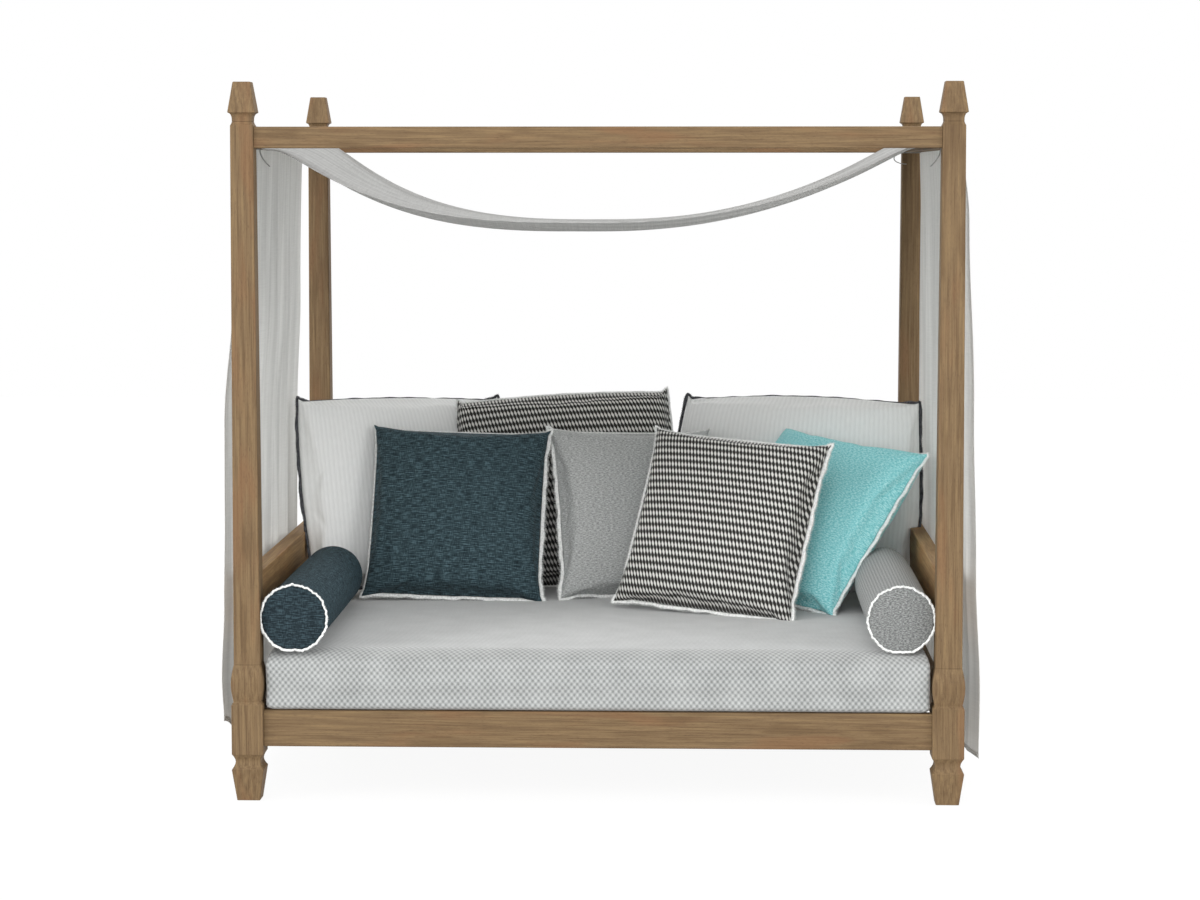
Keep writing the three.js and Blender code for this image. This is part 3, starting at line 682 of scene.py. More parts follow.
TEAK = {grain: WeatheredTeak(f"weathered_teak_{grain.name.lower()}", grain) for grain in Grain}
# A lighter copy of the teak for the arm boards: painted light, standing in for light that their shaded inner
# faces lack.
ARM_TEAK_PAINTED_LIGHT = WeatheredTeak(
    "arm_teak_painted_light", Grain.Y, body="987850", pale="AF8D5C", dark="7D5D38", ruddy="A07347", pore="5C4730"
)
ZINC = ZincPlate("zinc_plated_steel")
MATTRESS_COVER = BasketCheck("basket_weave_check", relief_mm=0.8, sheen=0.6)
RIBBED_COVER = RibbedCanvas("ribbed_canvas", relief_mm=0.8)
CHECK_COVER = BandedCheck("toothed_check")
NAVY_COVER = SlubTweed("slub_tweed_navy", dark="1A282E", pale="587078", sheen=0.03, slub_mm=26.0, yarn_mm=2.1)
NAVY_ROLL_COVER = SlubTweed(
    "slub_tweed_navy_roll", dark="132127", body="2B3B43", pale="50676F", sheen=0.0, slub_mm=15.0, yarn_mm=3.4
)
# Darker copy of the navy roll tweed for the bolster's ends: painted shade on the ends, which face the lamps.
NAVY_END_PAINTED_SHADE = SlubTweed(
    "slub_tweed_navy_end_painted_shade", dark="121D22", body="232F35", pale="3B4D54", sheen=0.0, slub_mm=22.0
)
GREY_COVER = SlubTweed(
    "slub_tweed_grey", dark="8E908F", body="AEB0AF", pale="CED0CF", slub_mm=8.0, yarn_mm=2.2
)
GREY_ROLL_COVER = RibbedTweed("ribbed_tweed_grey", dark="6D6F6E", body="8D8F8E", pale="AEB0AF", slub_mm=9.0)
# Darker copy of the grey tweed for the bolster's ends: painted shade on the ends, which face the lamps.
GREY_END_PAINTED_SHADE = SlubTweed("slub_tweed_grey_end_painted_shade", dark="5A5C5B", body="797B7A", pale="9C9E9D", slub_mm=7.0)
AQUA_COVER = SlubTweed(
    "slub_tweed_aqua", dark="69C2C6", body="92DBDF", pale="C0F0F3", slub_mm=8.0, yarn_mm=2.8
)
CURTAIN_CLOTH = Voile("outdoor_voile")
# A darker copy of the curtains' voile: painted shade that tones down the canopy, lit strongly from above; its
# hems and the corner ties share it.
CANOPY_VOILE_PAINTED_SHADE = Voile(
    "outdoor_voile_canopy_painted_shade", body="CECECC", low="ABABA9", streak_mm=(1300.0, 46.0), through=0.3
)
WHITE_FRAY = CottonYarn("white_cotton_yarn")
CHARCOAL_FRAY = CottonYarn("charcoal_cotton_yarn", body="55565A", low="2E2F32")


# The bed's own measures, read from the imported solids


@dataclass(frozen=True)
class Bed:
    """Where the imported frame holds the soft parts."""

    half_width: float
    half_depth: float
    mattress_low: np.ndarray
    mattress_high: np.ndarray
    rail_top: float
    rail_bottom: float
    rail_half: float
    arm_top: float
    arm_bottom: float
    board_half: float
    post_top_half: float = 31.2 * MM

    @classmethod
    def from_frame(cls) -> "Bed":
        """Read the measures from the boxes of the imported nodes."""
        post_low, post_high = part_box("post_front_left")
        mattress_low, mattress_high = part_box("mattress")
        rail_low, rail_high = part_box("canopy_rail_left")
        arm_low, arm_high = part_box("arm_board_left")
        return cls(
            half_width=-(post_low.x + post_high.x) / 2,
            half_depth=-(post_low.y + post_high.y) / 2,
            mattress_low=np.array(mattress_low),
            mattress_high=np.array(mattress_high),
            rail_top=rail_high.z,
            rail_bottom=rail_low.z,
            rail_half=(rail_high.x - rail_low.x) / 2,
            arm_top=arm_high.z,
            arm_bottom=arm_low.z,
            board_half=(arm_high.x - arm_low.x) / 2,
        )


# Teak frame and fittings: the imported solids, with their arrises softened and their finishes on


@dataclass
class TeakFrame:
    """Legs, posts, finials, rails, boards, slats and steel corner fittings."""

    arris: float = 0.9 * MM
    arris_angle: float = math.radians(26)
    arris_segments: int = 2
    weld_gap: float = 0.01 * MM
    normal_weight: int = 60

    def finish_of(self, name: str) -> Finish:
        """Choose a node's finish by its name: steel for the corner fittings, else teak by its grain.

        The arm boards take a lighter copy of the teak: painted light for their shaded inner faces.

        Args:
            name: The node's name.

        Returns:
            Its finish.
        """
        if name.startswith(("corner_brace", "corner_bolt")):
            return ZINC
        # Arm boards get the lighter teak copy: painted light.
        if name.startswith("arm_board"):
            return ARM_TEAK_PAINTED_LIGHT
        if name.startswith("slat_") or name.endswith(("rail_left", "rail_right")):
            return TEAK[Grain.Y]
        crosswise = name.startswith(("back_board", "centre_beam", "ledger_"))
        if crosswise or name.endswith(("rail_front", "rail_rear")):
            return TEAK[Grain.X]
        return TEAK[Grain.Z]

    def soften(self, node: bpy.types.Object) -> None:
        """Round a timber's arrises with modifiers: weld, a small bevel, and normals weighted by face."""
        node.modifiers.new("Weld", "WELD").merge_threshold = self.weld_gap
        bevel = node.modifiers.new("Arris", "BEVEL")
        configure(bevel, limit_method="ANGLE", angle_limit=self.arris_angle)
        configure(bevel, width=self.arris, segments=self.arris_segments)
        normals = node.modifiers.new("Normals", "WEIGHTED_NORMAL")
        configure(normals, weight=self.normal_weight, keep_sharp=False)

    def dress(self, nodes: dict[str, bpy.types.Object], soft: set[str]) -> None:
        """Give every hard node its finish.

        Args:
            nodes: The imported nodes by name.
            soft: Names of the nodes that cushions and cloths stand for.
        """
        for name, node in nodes.items():
            if name in soft:
                continue
            finish = self.finish_of(name)
            node.data.materials.clear()
            node.data.materials.append(finish.material())
            if finish is not ZINC:
                self.soften(node)
        log.info("dressed %d packed nodes", len(nodes) - len(soft))


# Padded pieces


@dataclass
class Padding:
    """A padded mesh on its way to its final shape."""

    piece: bpy.types.Object
    node: str
    slot: str
    cap: float
    fill: float
    pressure: float

    def settle(self) -> None:
        """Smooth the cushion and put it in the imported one's place."""
        smooth = self.piece.modifiers.new("Smooth", "SUBSURF")
        configure(smooth, levels=1, render_levels=1)
        stand_for(self.piece, self.node)
        log.info("%s done", self.node)


@dataclass
class Inflation:
    """Puffs all padded meshes in one cloth simulation, so that their covers stretch and pucker."""

    paddings: list[Padding]
    last_frame: int = 20
    stiffness: float = 14.0
    bending: float = 0.25
    mass: float = 0.25
    quality: int = 5

    def add_cloth(self, padding: Padding) -> None:
        """Put a cloth with inner pressure and no gravity on one piece."""
        cloth = padding.piece.modifiers.new("Puff", "CLOTH")
        configure(cloth.settings, quality=self.quality, mass=self.mass, bending_stiffness=self.bending)
        configure(cloth.settings, tension_stiffness=self.stiffness, compression_stiffness=self.stiffness)
        configure(cloth.settings, shear_stiffness=self.stiffness / 2)
        configure(cloth.settings, use_pressure=True, uniform_pressure_force=padding.pressure)
        cloth.settings.effector_weights.gravity = 0.0
        configure(cloth.point_cache, frame_start=1, frame_end=self.last_frame)
        cloth.collision_settings.use_collision = False

    def run(self) -> None:
        """Step the simulation, then keep each point's move where it is under the piece's cap.

        A longer move is cut to the cap, along its own direction, and the cloth is taken off the piece.
        """
        scene = bpy.context.scene
        for padding in self.paddings:
            self.add_cloth(padding)
        for frame_number in range(1, self.last_frame + 1):
            scene.frame_set(frame_number)
        graph = bpy.context.evaluated_depsgraph_get()
        for padding in self.paddings:
            start = coordinates(padding.piece.data)
            move = coordinates(padding.piece.evaluated_get(graph).data) - start
            reach = np.linalg.norm(move, axis=1, keepdims=True)
            move = move * np.minimum(1.0, padding.cap / np.maximum(reach, 1e-9))
            log.info("%s moved up to %.1f mm", padding.piece.name, reach.max() / MM)
            padding.piece.modifiers.clear()
            set_coordinates(padding.piece, start + move)
        scene.frame_set(1)


def stand_for(piece: bpy.types.Object, node: str) -> None:
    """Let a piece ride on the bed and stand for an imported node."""
    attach(piece, BODY)
    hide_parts(node)


@dataclass
class Mattress:
    """A thick mattress with rounded edges and a low crown.

    Its outline is a rectangle whose corners are rounded by the elliptical map of a square to a disc, and
    whose sides pull in a little between the corners. The side goes round a quarter circle at its foot and a
    wide quarter ellipse at its shoulder, where the filling gives way. The crown rises over a share of the way
    in.
    """

    bed: Bed
    foot: float = 15 * MM
    shoulder_side: float = 17 * MM
    shoulder_front: float = 85 * MM
    shoulder_down: float = 42 * MM
    corner: float = 13 * MM
    crown: float = 6 * MM
    crown_share: float = 0.5
    pull_in: float = 2 * MM
    waist: float = 1.5 * MM
    clearance: float = 0.3 * MM
    corner_steps: int = 6
    middle_steps: int = 96
    foot_steps: int = 5
    wall_steps: int = 11
    shoulder_steps: int = 13
    cap: float = 3 * MM
    fill: float = 0.9
    pressure: float = 0.6

    def plan(self) -> np.ndarray:
        """Grid of x and y over the outline, with close lines at the corners."""
        half = self.bed.mattress_high[:2]
        lines = []
        for reach in half:
            core = reach - self.corner
            sweep = math.sqrt(2) * np.sin(np.linspace(0, math.pi / 4, self.corner_steps + 1))[1:]
            flank = core + self.corner * sweep
            middle = np.linspace(-core, core, self.middle_steps + 1)
            lines.append(np.concatenate([-flank[::-1], middle, flank]))
        x, y = np.meshgrid(*lines)
        a = np.clip((np.abs(x) - half[0] + self.corner) / self.corner, 0, 1)
        b = np.clip((np.abs(y) - half[1] + self.corner) / self.corner, 0, 1)
        round_x = np.sign(x) * (half[0] - self.corner + self.corner * a * np.sqrt(1 - b**2 / 2))
        round_y = np.sign(y) * (half[1] - self.corner + self.corner * b * np.sqrt(1 - a**2 / 2))
        x = np.where(a > 0, round_x, x)
        y = np.where(b > 0, round_y, y)
        pulled_x = x * (1 - self.pull_in / half[0] * np.cos(math.pi / 2 * y / half[1]) * np.abs(x / half[0]))
        pulled_y = y * (1 - self.pull_in / half[1] * np.cos(math.pi / 2 * x / half[0]) * np.abs(y / half[1]))
        return np.stack([pulled_x, pulled_y], axis=-1)

    def build(self) -> Padding:
        """Lay the top and the underside as grids and hang the side between them."""
        low, high = self.bed.mattress_low[2] + self.clearance, self.bed.mattress_high[2]
        plan = self.plan()
        half = self.bed.mattress_high[:2]
        shoulder = np.array([self.shoulder_side, self.shoulder_front])
        under = plan * (1 - self.foot / half)
        inner = plan * (1 - shoulder / half)
        top = high - self.crown
        room = np.minimum(1, (1 - np.abs(inner) / (half - shoulder)).min(axis=-1) / self.crown_share)
        crowned = top + self.crown * np.sin(room * math.pi / 2)
        roof = np.concatenate([inner, crowned[..., None]], axis=-1)
        base = np.concatenate([under, np.full(under.shape[:2] + (1,), low)], axis=-1)
        low_turn = np.linspace(0, math.pi / 2, self.foot_steps + 1)[1:]
        high_turn = np.linspace(0, math.pi / 2, self.shoulder_steps + 1)[:-1]
        side = np.linspace(0, 1, self.wall_steps + 1)[1:-1]
        foot_in = np.concatenate([self.foot * (1 - np.sin(low_turn)), self.waist * np.sin(math.pi * side)])
        wall = top - self.shoulder_down - low - self.foot
        foot_z, wall_z = low + self.foot * (1 - np.cos(low_turn)), low + self.foot + wall * side
        heights = np.concatenate([foot_z, wall_z, top - self.shoulder_down * (1 - np.sin(high_turn))])
        rim = perimeter(*plan.shape[:2])
        outer, foot_rim, narrow = (grid.reshape(-1, 2)[rim] for grid in (plan, under, inner))
        below = outer[None] + (foot_rim - outer)[None] * (foot_in / self.foot)[:, None, None]
        above = outer[None] + (narrow - outer)[None] * (1 - np.cos(high_turn))[:, None, None]
        flat = np.concatenate([below, above])
        loops = np.concatenate([flat, np.repeat(heights[:, None, None], len(rim), axis=1)], axis=-1)
        points, faces = capped(base, loops, roof)
        drops = []
        for reach in shoulder:
            insets = np.concatenate([[self.foot], foot_in, reach * (1 - np.cos(high_turn)), [reach]])
            travelled = arc_length(np.column_stack([insets, [low, *heights, top]]))
            drops.append(travelled - travelled[-1])
        roof_uv = roof.reshape(-1, 3)[grid_faces(*plan.shape[:2])][..., :2]
        base_uv = base.reshape(-1, 3)[faces[0]][..., :2]
        uv = [base_uv, self.side_weave(outer, drops, half - shoulder), roof_uv]
        piece = make_piece("mattress_cushion", points, faces, MATTRESS_COVER.material(), uv)
        return Padding(piece, "mattress", "mattress", self.cap, self.fill, self.pressure)

    def side_weave(self, outer: np.ndarray, drops: list[np.ndarray], level: np.ndarray) -> np.ndarray:
        """Weave coordinates of the side's face corners, so that the top's check runs on down every side.

        Args:
            outer: The outline's points.
            drops: For the sides across x and for those across y, the distance along the profile from the top
                edge, nought or less.
            level: Half the width and depth of the top within its shoulders.

        Returns:
            Two coordinates for each corner of each face.
        """
        column = np.arange(len(outer))
        after = (column + 1) % len(outer)
        middle = (outer[column] + outer[after]) / 2
        half = np.abs(outer).max(axis=0)
        faces_front = np.abs(middle[:, 1]) - half[1] > np.abs(middle[:, 0]) - half[0]
        corners = []
        for step, at in ((0, column), (0, after), (1, after), (1, column)):
            fall_x, fall_y = (drop[step : len(drop) - 1 + step, None] for drop in drops)
            x = np.where(faces_front, outer[at, 0], np.sign(middle[:, 0]) * (level[0] - fall_x))
            y = np.where(faces_front, np.sign(middle[:, 1]) * (level[1] - fall_y), outer[at, 1])
            corners.append(np.stack([x, y], axis=-1))
        return np.stack(corners, axis=2).reshape(-1, 4, 2)


# Frayed edges


@dataclass(frozen=True)
class FrayedEdge:
    """A narrow woven band sewn into a seam, with its outer threads loose.

    The band follows the seam on a slightly wavy line, a flat oval swept along it. Each thread is a
    three-sided tapering strand that starts in the band and leans a little sideways and off the plane. The
    waves are divided by calm, so that their sum stays near one. The taper gives shares of a strand's length
    and its radius there.
    """

    finish: Finish = WHITE_FRAY
    band: float = 11 * MM
    thick: float = 2.6 * MM
    fray: float = 5 * MM
    widths: tuple[float, float, float, float] = (1.0, 1.0, 1.0, 1.0)
    wander: float = 2.2 * MM
    folded_top: bool = False
    spacing: float = 1.6 * MM
    strand: float = 0.9 * MM
    tuck: float = 1.5 * MM
    side_share: float = 0.36
    uneven_share: float = 0.16
    waves: tuple[int, ...] = (7, 13, 23, 41)
    calm: float = 2.2
    band_sides: int = 6
    lean: float = 0.55
    lift: float = 0.35
    lengths: tuple[float, float] = (0.35, 1.25)
    curl: float = 1.5
    taper: tuple[tuple[float, float], ...] = ((0.0, 1.0), (0.55, 0.9), (1.0, 0.45))

    def width_along(self, count: int) -> np.ndarray:
        """Blend the band's width from side to side of the cushion.

        Args:
            count: Number of points around the seam.

        Returns:
            Share of the full width at each of them.
        """
        sides = np.arange(4) + 0.5
        knots = np.concatenate([sides - self.side_share, sides + self.side_share])
        order = np.argsort(knots)
        values = np.concatenate([self.widths, self.widths])[order]
        return np.interp(np.arange(count) / count * 4, knots[order], values, period=4)

    def build(self, node: str, slot: str, seam: np.ndarray, outward: np.ndarray, seed: int) -> None:
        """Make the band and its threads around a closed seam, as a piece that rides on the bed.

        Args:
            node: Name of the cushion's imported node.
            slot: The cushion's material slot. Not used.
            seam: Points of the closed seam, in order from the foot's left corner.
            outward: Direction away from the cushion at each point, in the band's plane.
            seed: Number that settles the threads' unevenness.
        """
        random = np.random.default_rng(seed)
        closed, out = (np.vstack([points, points[:1]]) for points in (seam, outward))
        travel = arc_length(closed)
        length = travel[-1]
        place = np.linspace(0, length, int(length / self.spacing), endpoint=False)
        line, away = (
            np.stack([np.interp(place, travel, row) for row in points.T], axis=1) for points in (closed, out)
        )
        away = unit(away)
        along = unit(np.roll(line, -1, axis=0) - np.roll(line, 1, axis=0))
        flat = unit(np.cross(along, away))
        swings = [np.sin(TURN * (count * place / length + random.random())) for count in self.waves]
        wobble = np.sum(swings, axis=0) / self.calm
        share = np.interp(place, travel[:-1], self.width_along(len(seam)))[:, None]
        width = self.band * share * (1 + self.uneven_share * wobble[:, None])
        centre = line + away * (width / 2 - self.tuck) + flat * (self.wander * wobble)[:, None]
        band = rings_round(centre, away * width / 2, flat * self.thick / 2, self.band_sides)
        start = line + away * (width - 2 * self.tuck)
        strands, sides, tips = self.strands(start, away, along, flat, share, random)
        points = np.vstack([band.reshape(-1, 3), strands])
        offset = band.shape[0] * band.shape[1]
        tube = grid_faces(len(line), self.band_sides, closed=True, looped=True)
        faces = [tube, sides + offset, tips + offset]
        piece = make_piece(f"{node}_fray", points, faces, self.finish.material())
        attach(piece, BODY)

    def strands(
        self,
        start: np.ndarray,
        away: np.ndarray,
        along: np.ndarray,
        flat: np.ndarray,
        share: np.ndarray,
        random: np.random.Generator,
    ) -> tuple[np.ndarray, np.ndarray, np.ndarray]:
        """Tapering strands of three sides and three rings, each curling its own way.

        Args:
            start: Where each strand leaves the band.
            away: Direction away from the cushion there.
            along: Direction along the seam there.
            flat: The band's normal there.
            share: Share of the full length that the strands have there.
            random: Source of the unevenness.

        Returns:
            The points, and the faces of the strands' sides and of their tips.
        """
        count = len(start)
        lean = random.uniform(-self.lean, self.lean, (count, 1))
        lift = random.uniform(-self.lift, self.lift, (count, 1))
        reach = self.fray * random.uniform(*self.lengths, (count, 1)) * share
        rings = []
        for far, taper in self.taper:
            bent = (along * lean + flat * lift) * reach * far**self.curl
            middle = start + away * (self.tuck + reach) * far + bent
            radius = self.strand / 2 * taper
            rings.append(rings_round(middle, along * radius, flat * radius, 3))
        first = np.arange(count)[:, None, None, None] * 9
        level = np.arange(2)[:, None, None] * 3
        corner = np.arange(3)[:, None]
        after = (corner + 1) % 3
        quad = np.concatenate([corner, 3 + corner, 3 + after, after], axis=-1)
        tips = first[:, 0, 0] + np.array([6, 8, 7])
        return np.stack(rings, axis=1).reshape(-1, 3), (first + level + quad).reshape(-1, 4), tips


# Bolsters


@dataclass
class Bolster:
    """A round bolster along the arm board, flat where it lies, with a frayed ring sewn in at its front end.

    It is a turned surface: a circle of radius r carried along y, with ends that bulge a little.
    """

    node: str
    slot: str
    cover: Finish
    # Darker copy of the cover for the ends: painted shade.
    end_cover_painted_shade: Finish
    seed: int
    bed: Bed
    crown: float = 7 * MM
    swell_share: float = 0.012
    trim: float = 0.5 * MM
    clearance: float = 0.3 * MM
    ring_slant: float = 0.55
    ring: FrayedEdge = FrayedEdge(band=7 * MM, thick=3.6 * MM, fray=2.2 * MM)
    around: int = 96
    along: int = 71
    cap: float = 4 * MM
    fill: float = 0.9
    pressure: float = 0.8

    def build(self) -> Padding:
        """Make the ends as grids mapped to discs, in a darker copy of the cover (painted shade), and run the
        side between them.
        """
        low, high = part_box(self.node)
        radius = (high.x - low.x) / 2
        self.axis = np.array([(low.x + high.x) / 2, 0.0, high.z - radius])
        radius -= self.trim
        side_count = self.around // 4
        line = math.sqrt(2) * np.sin(np.linspace(-math.pi / 4, math.pi / 4, side_count + 1))
        a, b = np.meshgrid(line, line)
        disc = np.stack([a * np.sqrt(1 - b**2 / 2), b * np.sqrt(1 - a**2 / 2)], axis=-1)
        bulge = self.crown * (1 - (disc**2).sum(axis=-1))
        front, rear = low.y + self.crown, high.y - self.crown
        end_x, end_z = self.axis[0] + disc[..., 0] * radius, self.axis[2] + disc[..., 1] * radius
        ends = [np.stack([end_x, y, end_z], axis=-1) for y in (front - bulge, rear + bulge)]
        self.seam = perimeter(side_count + 1, side_count + 1)
        count = len(self.seam)
        circle = disc.reshape(-1, 2)[self.seam]
        side = np.linspace(0, 1, self.along + 1)[1:-1, None]
        swell = radius * (1 + self.swell_share * np.sin(math.pi * side))
        x, z = (self.axis[k] + swell * circle[None, :, k // 2] for k in (0, 2))
        loops = np.stack(np.broadcast_arrays(x, front + (rear - front) * side, z), axis=-1)
        points, faces = capped(ends[0], loops, ends[1], outward=-1)
        step = np.array([TURN * radius / count, (high.y - low.y) / self.along])
        row, column = np.divmod(np.arange(count * self.along), count)
        first = np.array([0.0, low.y]) + np.stack([column, row], axis=-1) * step
        shifts = np.array([[0, 1], [1, 1], [1, 0], [0, 0]]) * step
        planar = points[:, [0, 2]]
        uv = [planar[faces[0]], first[:, None] + shifts, planar[faces[2]]]
        piece = make_piece(f"{self.node}_roll", points, faces, self.cover.material(), uv)
        # The ends take the darker copy of the cover: painted shade.
        piece.data.materials.append(self.end_cover_painted_shade.material())
        index = np.concatenate([np.full(len(part), number != 1) for number, part in enumerate(faces)])
        piece.data.polygons.foreach_set("material_index", index.astype(np.int32))
        return Padding(piece, self.node, self.slot, self.cap, self.fill, self.pressure)

    def finish(self, padding: Padding) -> None:
        """Flatten the underside on the mattress, sew the front ring in and smooth the roll.

        Args:
            padding: The bolster's puffed mesh.
        """
        points = coordinates(padding.piece.data)
        points[:, 2] = np.maximum(points[:, 2], self.bed.mattress_high[2] + self.clearance)
        set_coordinates(padding.piece, points)
        seam = points[self.seam]
        out = unit((seam - self.axis) * np.array([1.0, 0.0, 1.0]))
        slanted = unit(out - np.array([0.0, self.ring_slant, 0.0]))
        self.ring.build(self.node, self.slot, seam, slanted, self.seed)
        padding.settle()


# Pillows


@dataclass(frozen=True)
class Cut:
    """Size of a pillow between its corners, and half its thickness."""

    width: float
    height: float
    plump: float


@dataclass(frozen=True)
class Stance:
    """Where a pillow's foot stands, as shares of the bed's width and depth, and its angles in degrees."""

    x_share: float
    y_share: float
    turn: float
    lean: float
    roll: float


RIBBED_CUT = Cut(767 * MM, 606 * MM, 78 * MM)
LOUNGE_CUT = Cut(693 * MM, 597 * MM, 74 * MM)
THROW_CUT = Cut(556 * MM, 551 * MM, 84 * MM)
SMALL_CUT = Cut(518 * MM, 532 * MM, 80 * MM)
LARGE_CUT = Cut(576 * MM, 606 * MM, 84 * MM)


@dataclass
class Pillow:
    """A scatter pillow that leans back on the others.

    Its two faces are z = plump * ((1 - |u|^p) * (1 - |v|^p))^taper over a square whose sides draw in by a
    share of (1 - v^2) and (1 - u^2). Puffing draws the seam in, so the square starts out larger by grow. Its
    foot is a little fuller, as it settles on the mattress. The square is then turned, leant and rolled.
    """

    node: str
    slot: str
    cut: Cut
    stance: Stance
    cover: Finish
    edge: FrayedEdge
    seed: int
    grow: float = 12 * MM
    draw_in: float = 0.012
    settle_share: float = 0.03
    power: float = 2.2
    taper: float = 0.62
    full_share: float = 0.94
    crowd_share: float = 0.55
    steps: int = 60
    seam_in: float = 4 * MM
    back_shift: float = 13 * MM
    sink: float = 1.5 * MM
    clearance: float = 0.4 * MM
    pillow_gap: float = 0.6 * MM
    board_gap: float = 0.5 * MM
    side_room: float = 9 * MM
    splay: float = 0.35
    fold_from: float = 0.4
    fold_end: float = 0.93
    fold_ease: float = 0.12
    cap: float = 22 * MM
    fill: float = 0.75
    pressure: float = 0.9

    def place(self, bed: Bed) -> None:
        """Work out the pillow's middle and its three directions from where its foot stands.

        Args:
            bed: The bed's measures.
        """
        self.bed = bed
        stance = self.stance
        turn, lean, roll = (math.radians(angle) for angle in (stance.turn, stance.lean, stance.roll))
        right = np.array([math.cos(turn), math.sin(turn), 0.0])
        back = np.array([-math.sin(turn), math.cos(turn), 0.0])
        tall = math.cos(lean) * np.array([0.0, 0.0, 1.0]) + math.sin(lean) * back
        self.across = math.cos(roll) * right + math.sin(roll) * tall
        self.upward = -math.sin(roll) * right + math.cos(roll) * tall
        self.face = np.cross(self.across, self.upward)
        x, y = stance.x_share * 2 * bed.half_width, stance.y_share * 2 * bed.half_depth
        z = bed.mattress_high[2] - self.sink + abs(self.across[2]) * self.cut.width / 2
        self.middle = np.array([x, y, z]) + self.upward * self.cut.height / 2

    def half_thickness(self, u: np.ndarray, v: np.ndarray) -> np.ndarray:
        """Half the pillow's thickness.

        Args:
            u: Share of the half width, from -1 to 1.
            v: Share of the half height, from -1 to 1.

        Returns:
            The height of its face there.
        """
        across = 1 - np.minimum(np.abs(u), 1) ** self.power
        along = 1 - np.minimum(np.abs(v), 1) ** self.power
        return self.cut.plump * (across * along) ** self.taper

    def build(self, bed: Bed) -> Padding:
        """Make the two faces as grids that share their rim.

        Args:
            bed: The bed's measures.

        Returns:
            The pillow's mesh, to be puffed.
        """
        self.place(bed)
        count = self.steps + 1
        line = np.sin(np.linspace(-0.5, 0.5, count) * math.pi)
        line = self.crowd_share * line + (1 - self.crowd_share) * np.linspace(-1, 1, count)
        u, v = np.meshgrid(line, line)
        half_w, half_h = (side / 2 - self.seam_in + self.grow for side in (self.cut.width, self.cut.height))
        a = u * (1 - self.draw_in * (1 - v**2)) * half_w
        b = v * (1 - self.draw_in * (1 - u**2)) * half_h
        b = np.where(v < 0, b * (1 + self.settle_share * (1 - u**2)), b)
        thick = self.half_thickness(u, v) * self.full_share
        flat = self.middle + a[..., None] * self.across + b[..., None] * self.upward
        front = flat + thick[..., None] * self.face
        back = front - 2 * thick[..., None] * self.face
        inside = np.zeros((count, count), dtype=bool)
        inside[1:-1, 1:-1] = True
        back_index = np.arange(count * count).reshape(count, count)
        back_index[inside] = count * count + np.arange((count - 2) ** 2)
        points = np.vstack([front.reshape(-1, 3), back[inside]])
        faces = grid_faces(count, count)
        cloth = np.stack([u * self.cut.width / 2, v * self.cut.height / 2], axis=-1).reshape(-1, 2)
        uv = [cloth[faces], cloth[faces][:, ::-1] + self.back_shift]
        both = [faces, back_index.reshape(-1)[faces][:, ::-1]]
        piece = make_piece(f"{self.node}_cushion", points, both, self.cover.material(), uv)
        return Padding(piece, self.node, self.slot, self.cap, self.fill, self.pressure)

    def keep_off(self, points: np.ndarray) -> np.ndarray:
        """Push another cushion off this pillow, out of its near face.

        Args:
            points: The other cushion's points.

        Returns:
            The points where they may lie.
        """
        local = points - self.middle
        a, b, c = local @ self.across, local @ self.upward, local @ self.face
        u, v = a / (self.cut.width / 2), b / (self.cut.height / 2)
        wall = self.half_thickness(u, v) + self.pillow_gap
        inside = (np.abs(u) < 1) & (np.abs(v) < 1) & (np.abs(c) < wall)
        return points + np.where(inside, wall - c, 0.0)[:, None] * self.face

    def off_sides(self, points: np.ndarray) -> None:
        """Push points off the curtains, and out of the arm boards, upwards or in from their inner faces.

        Args:
            points: The pillow's points, changed in place.
        """
        bed = self.bed
        reach = bed.half_width + self.side_room
        points[:, 0] = np.clip(points[:, 0], -reach, reach)
        inner = bed.half_width - bed.board_half - self.board_gap
        outer = bed.half_width + bed.board_half
        x, z = np.abs(points[:, 0]), points[:, 2].copy()
        inside = (x > inner) & (x < outer) & (z < bed.arm_top) & (z > bed.arm_bottom)
        lift = inside & (bed.arm_top - z < x - inner)
        points[:, 2] = np.where(lift, bed.arm_top + self.board_gap, z)
        points[:, 0] = np.where(inside & ~lift, np.sign(points[:, 0]) * inner, points[:, 0])

    def finish(self, padding: Padding, behind: list["Pillow"]) -> None:
        """Press the pillow on what it touches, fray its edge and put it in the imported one's place.

        A folded edge turns towards the rear along the top, between the corners.

        Args:
            padding: The pillow's puffed mesh.
            behind: The pillows that it leans on or stands in front of.
        """
        points = coordinates(padding.piece.data)
        for other in behind:
            points = other.keep_off(points)
        self.off_sides(points)
        points[:, 2] = np.maximum(points[:, 2], self.bed.mattress_high[2] + self.clearance)
        set_coordinates(padding.piece, points)
        seam = points[perimeter(self.steps + 1, self.steps + 1)]
        local = seam - self.middle
        out = unit(local - (local @ self.face)[:, None] * self.face)
        normal = unit(np.cross(np.roll(seam, -1, axis=0) - np.roll(seam, 1, axis=0), self.face))
        away = unit(normal + self.splay * out)
        if self.edge.folded_top:
            across = np.abs(local @ self.across) / (self.cut.width / 2)
            high = local @ self.upward > self.fold_from * self.cut.height
            fold = np.where(high, np.clip((self.fold_end - across) / self.fold_ease, 0, 1), 0.0)[:, None]
            away = unit(away * (1 - fold) - self.face * fold)
        self.edge.build(self.node, self.slot, seam, away, self.seed)
        padding.settle()


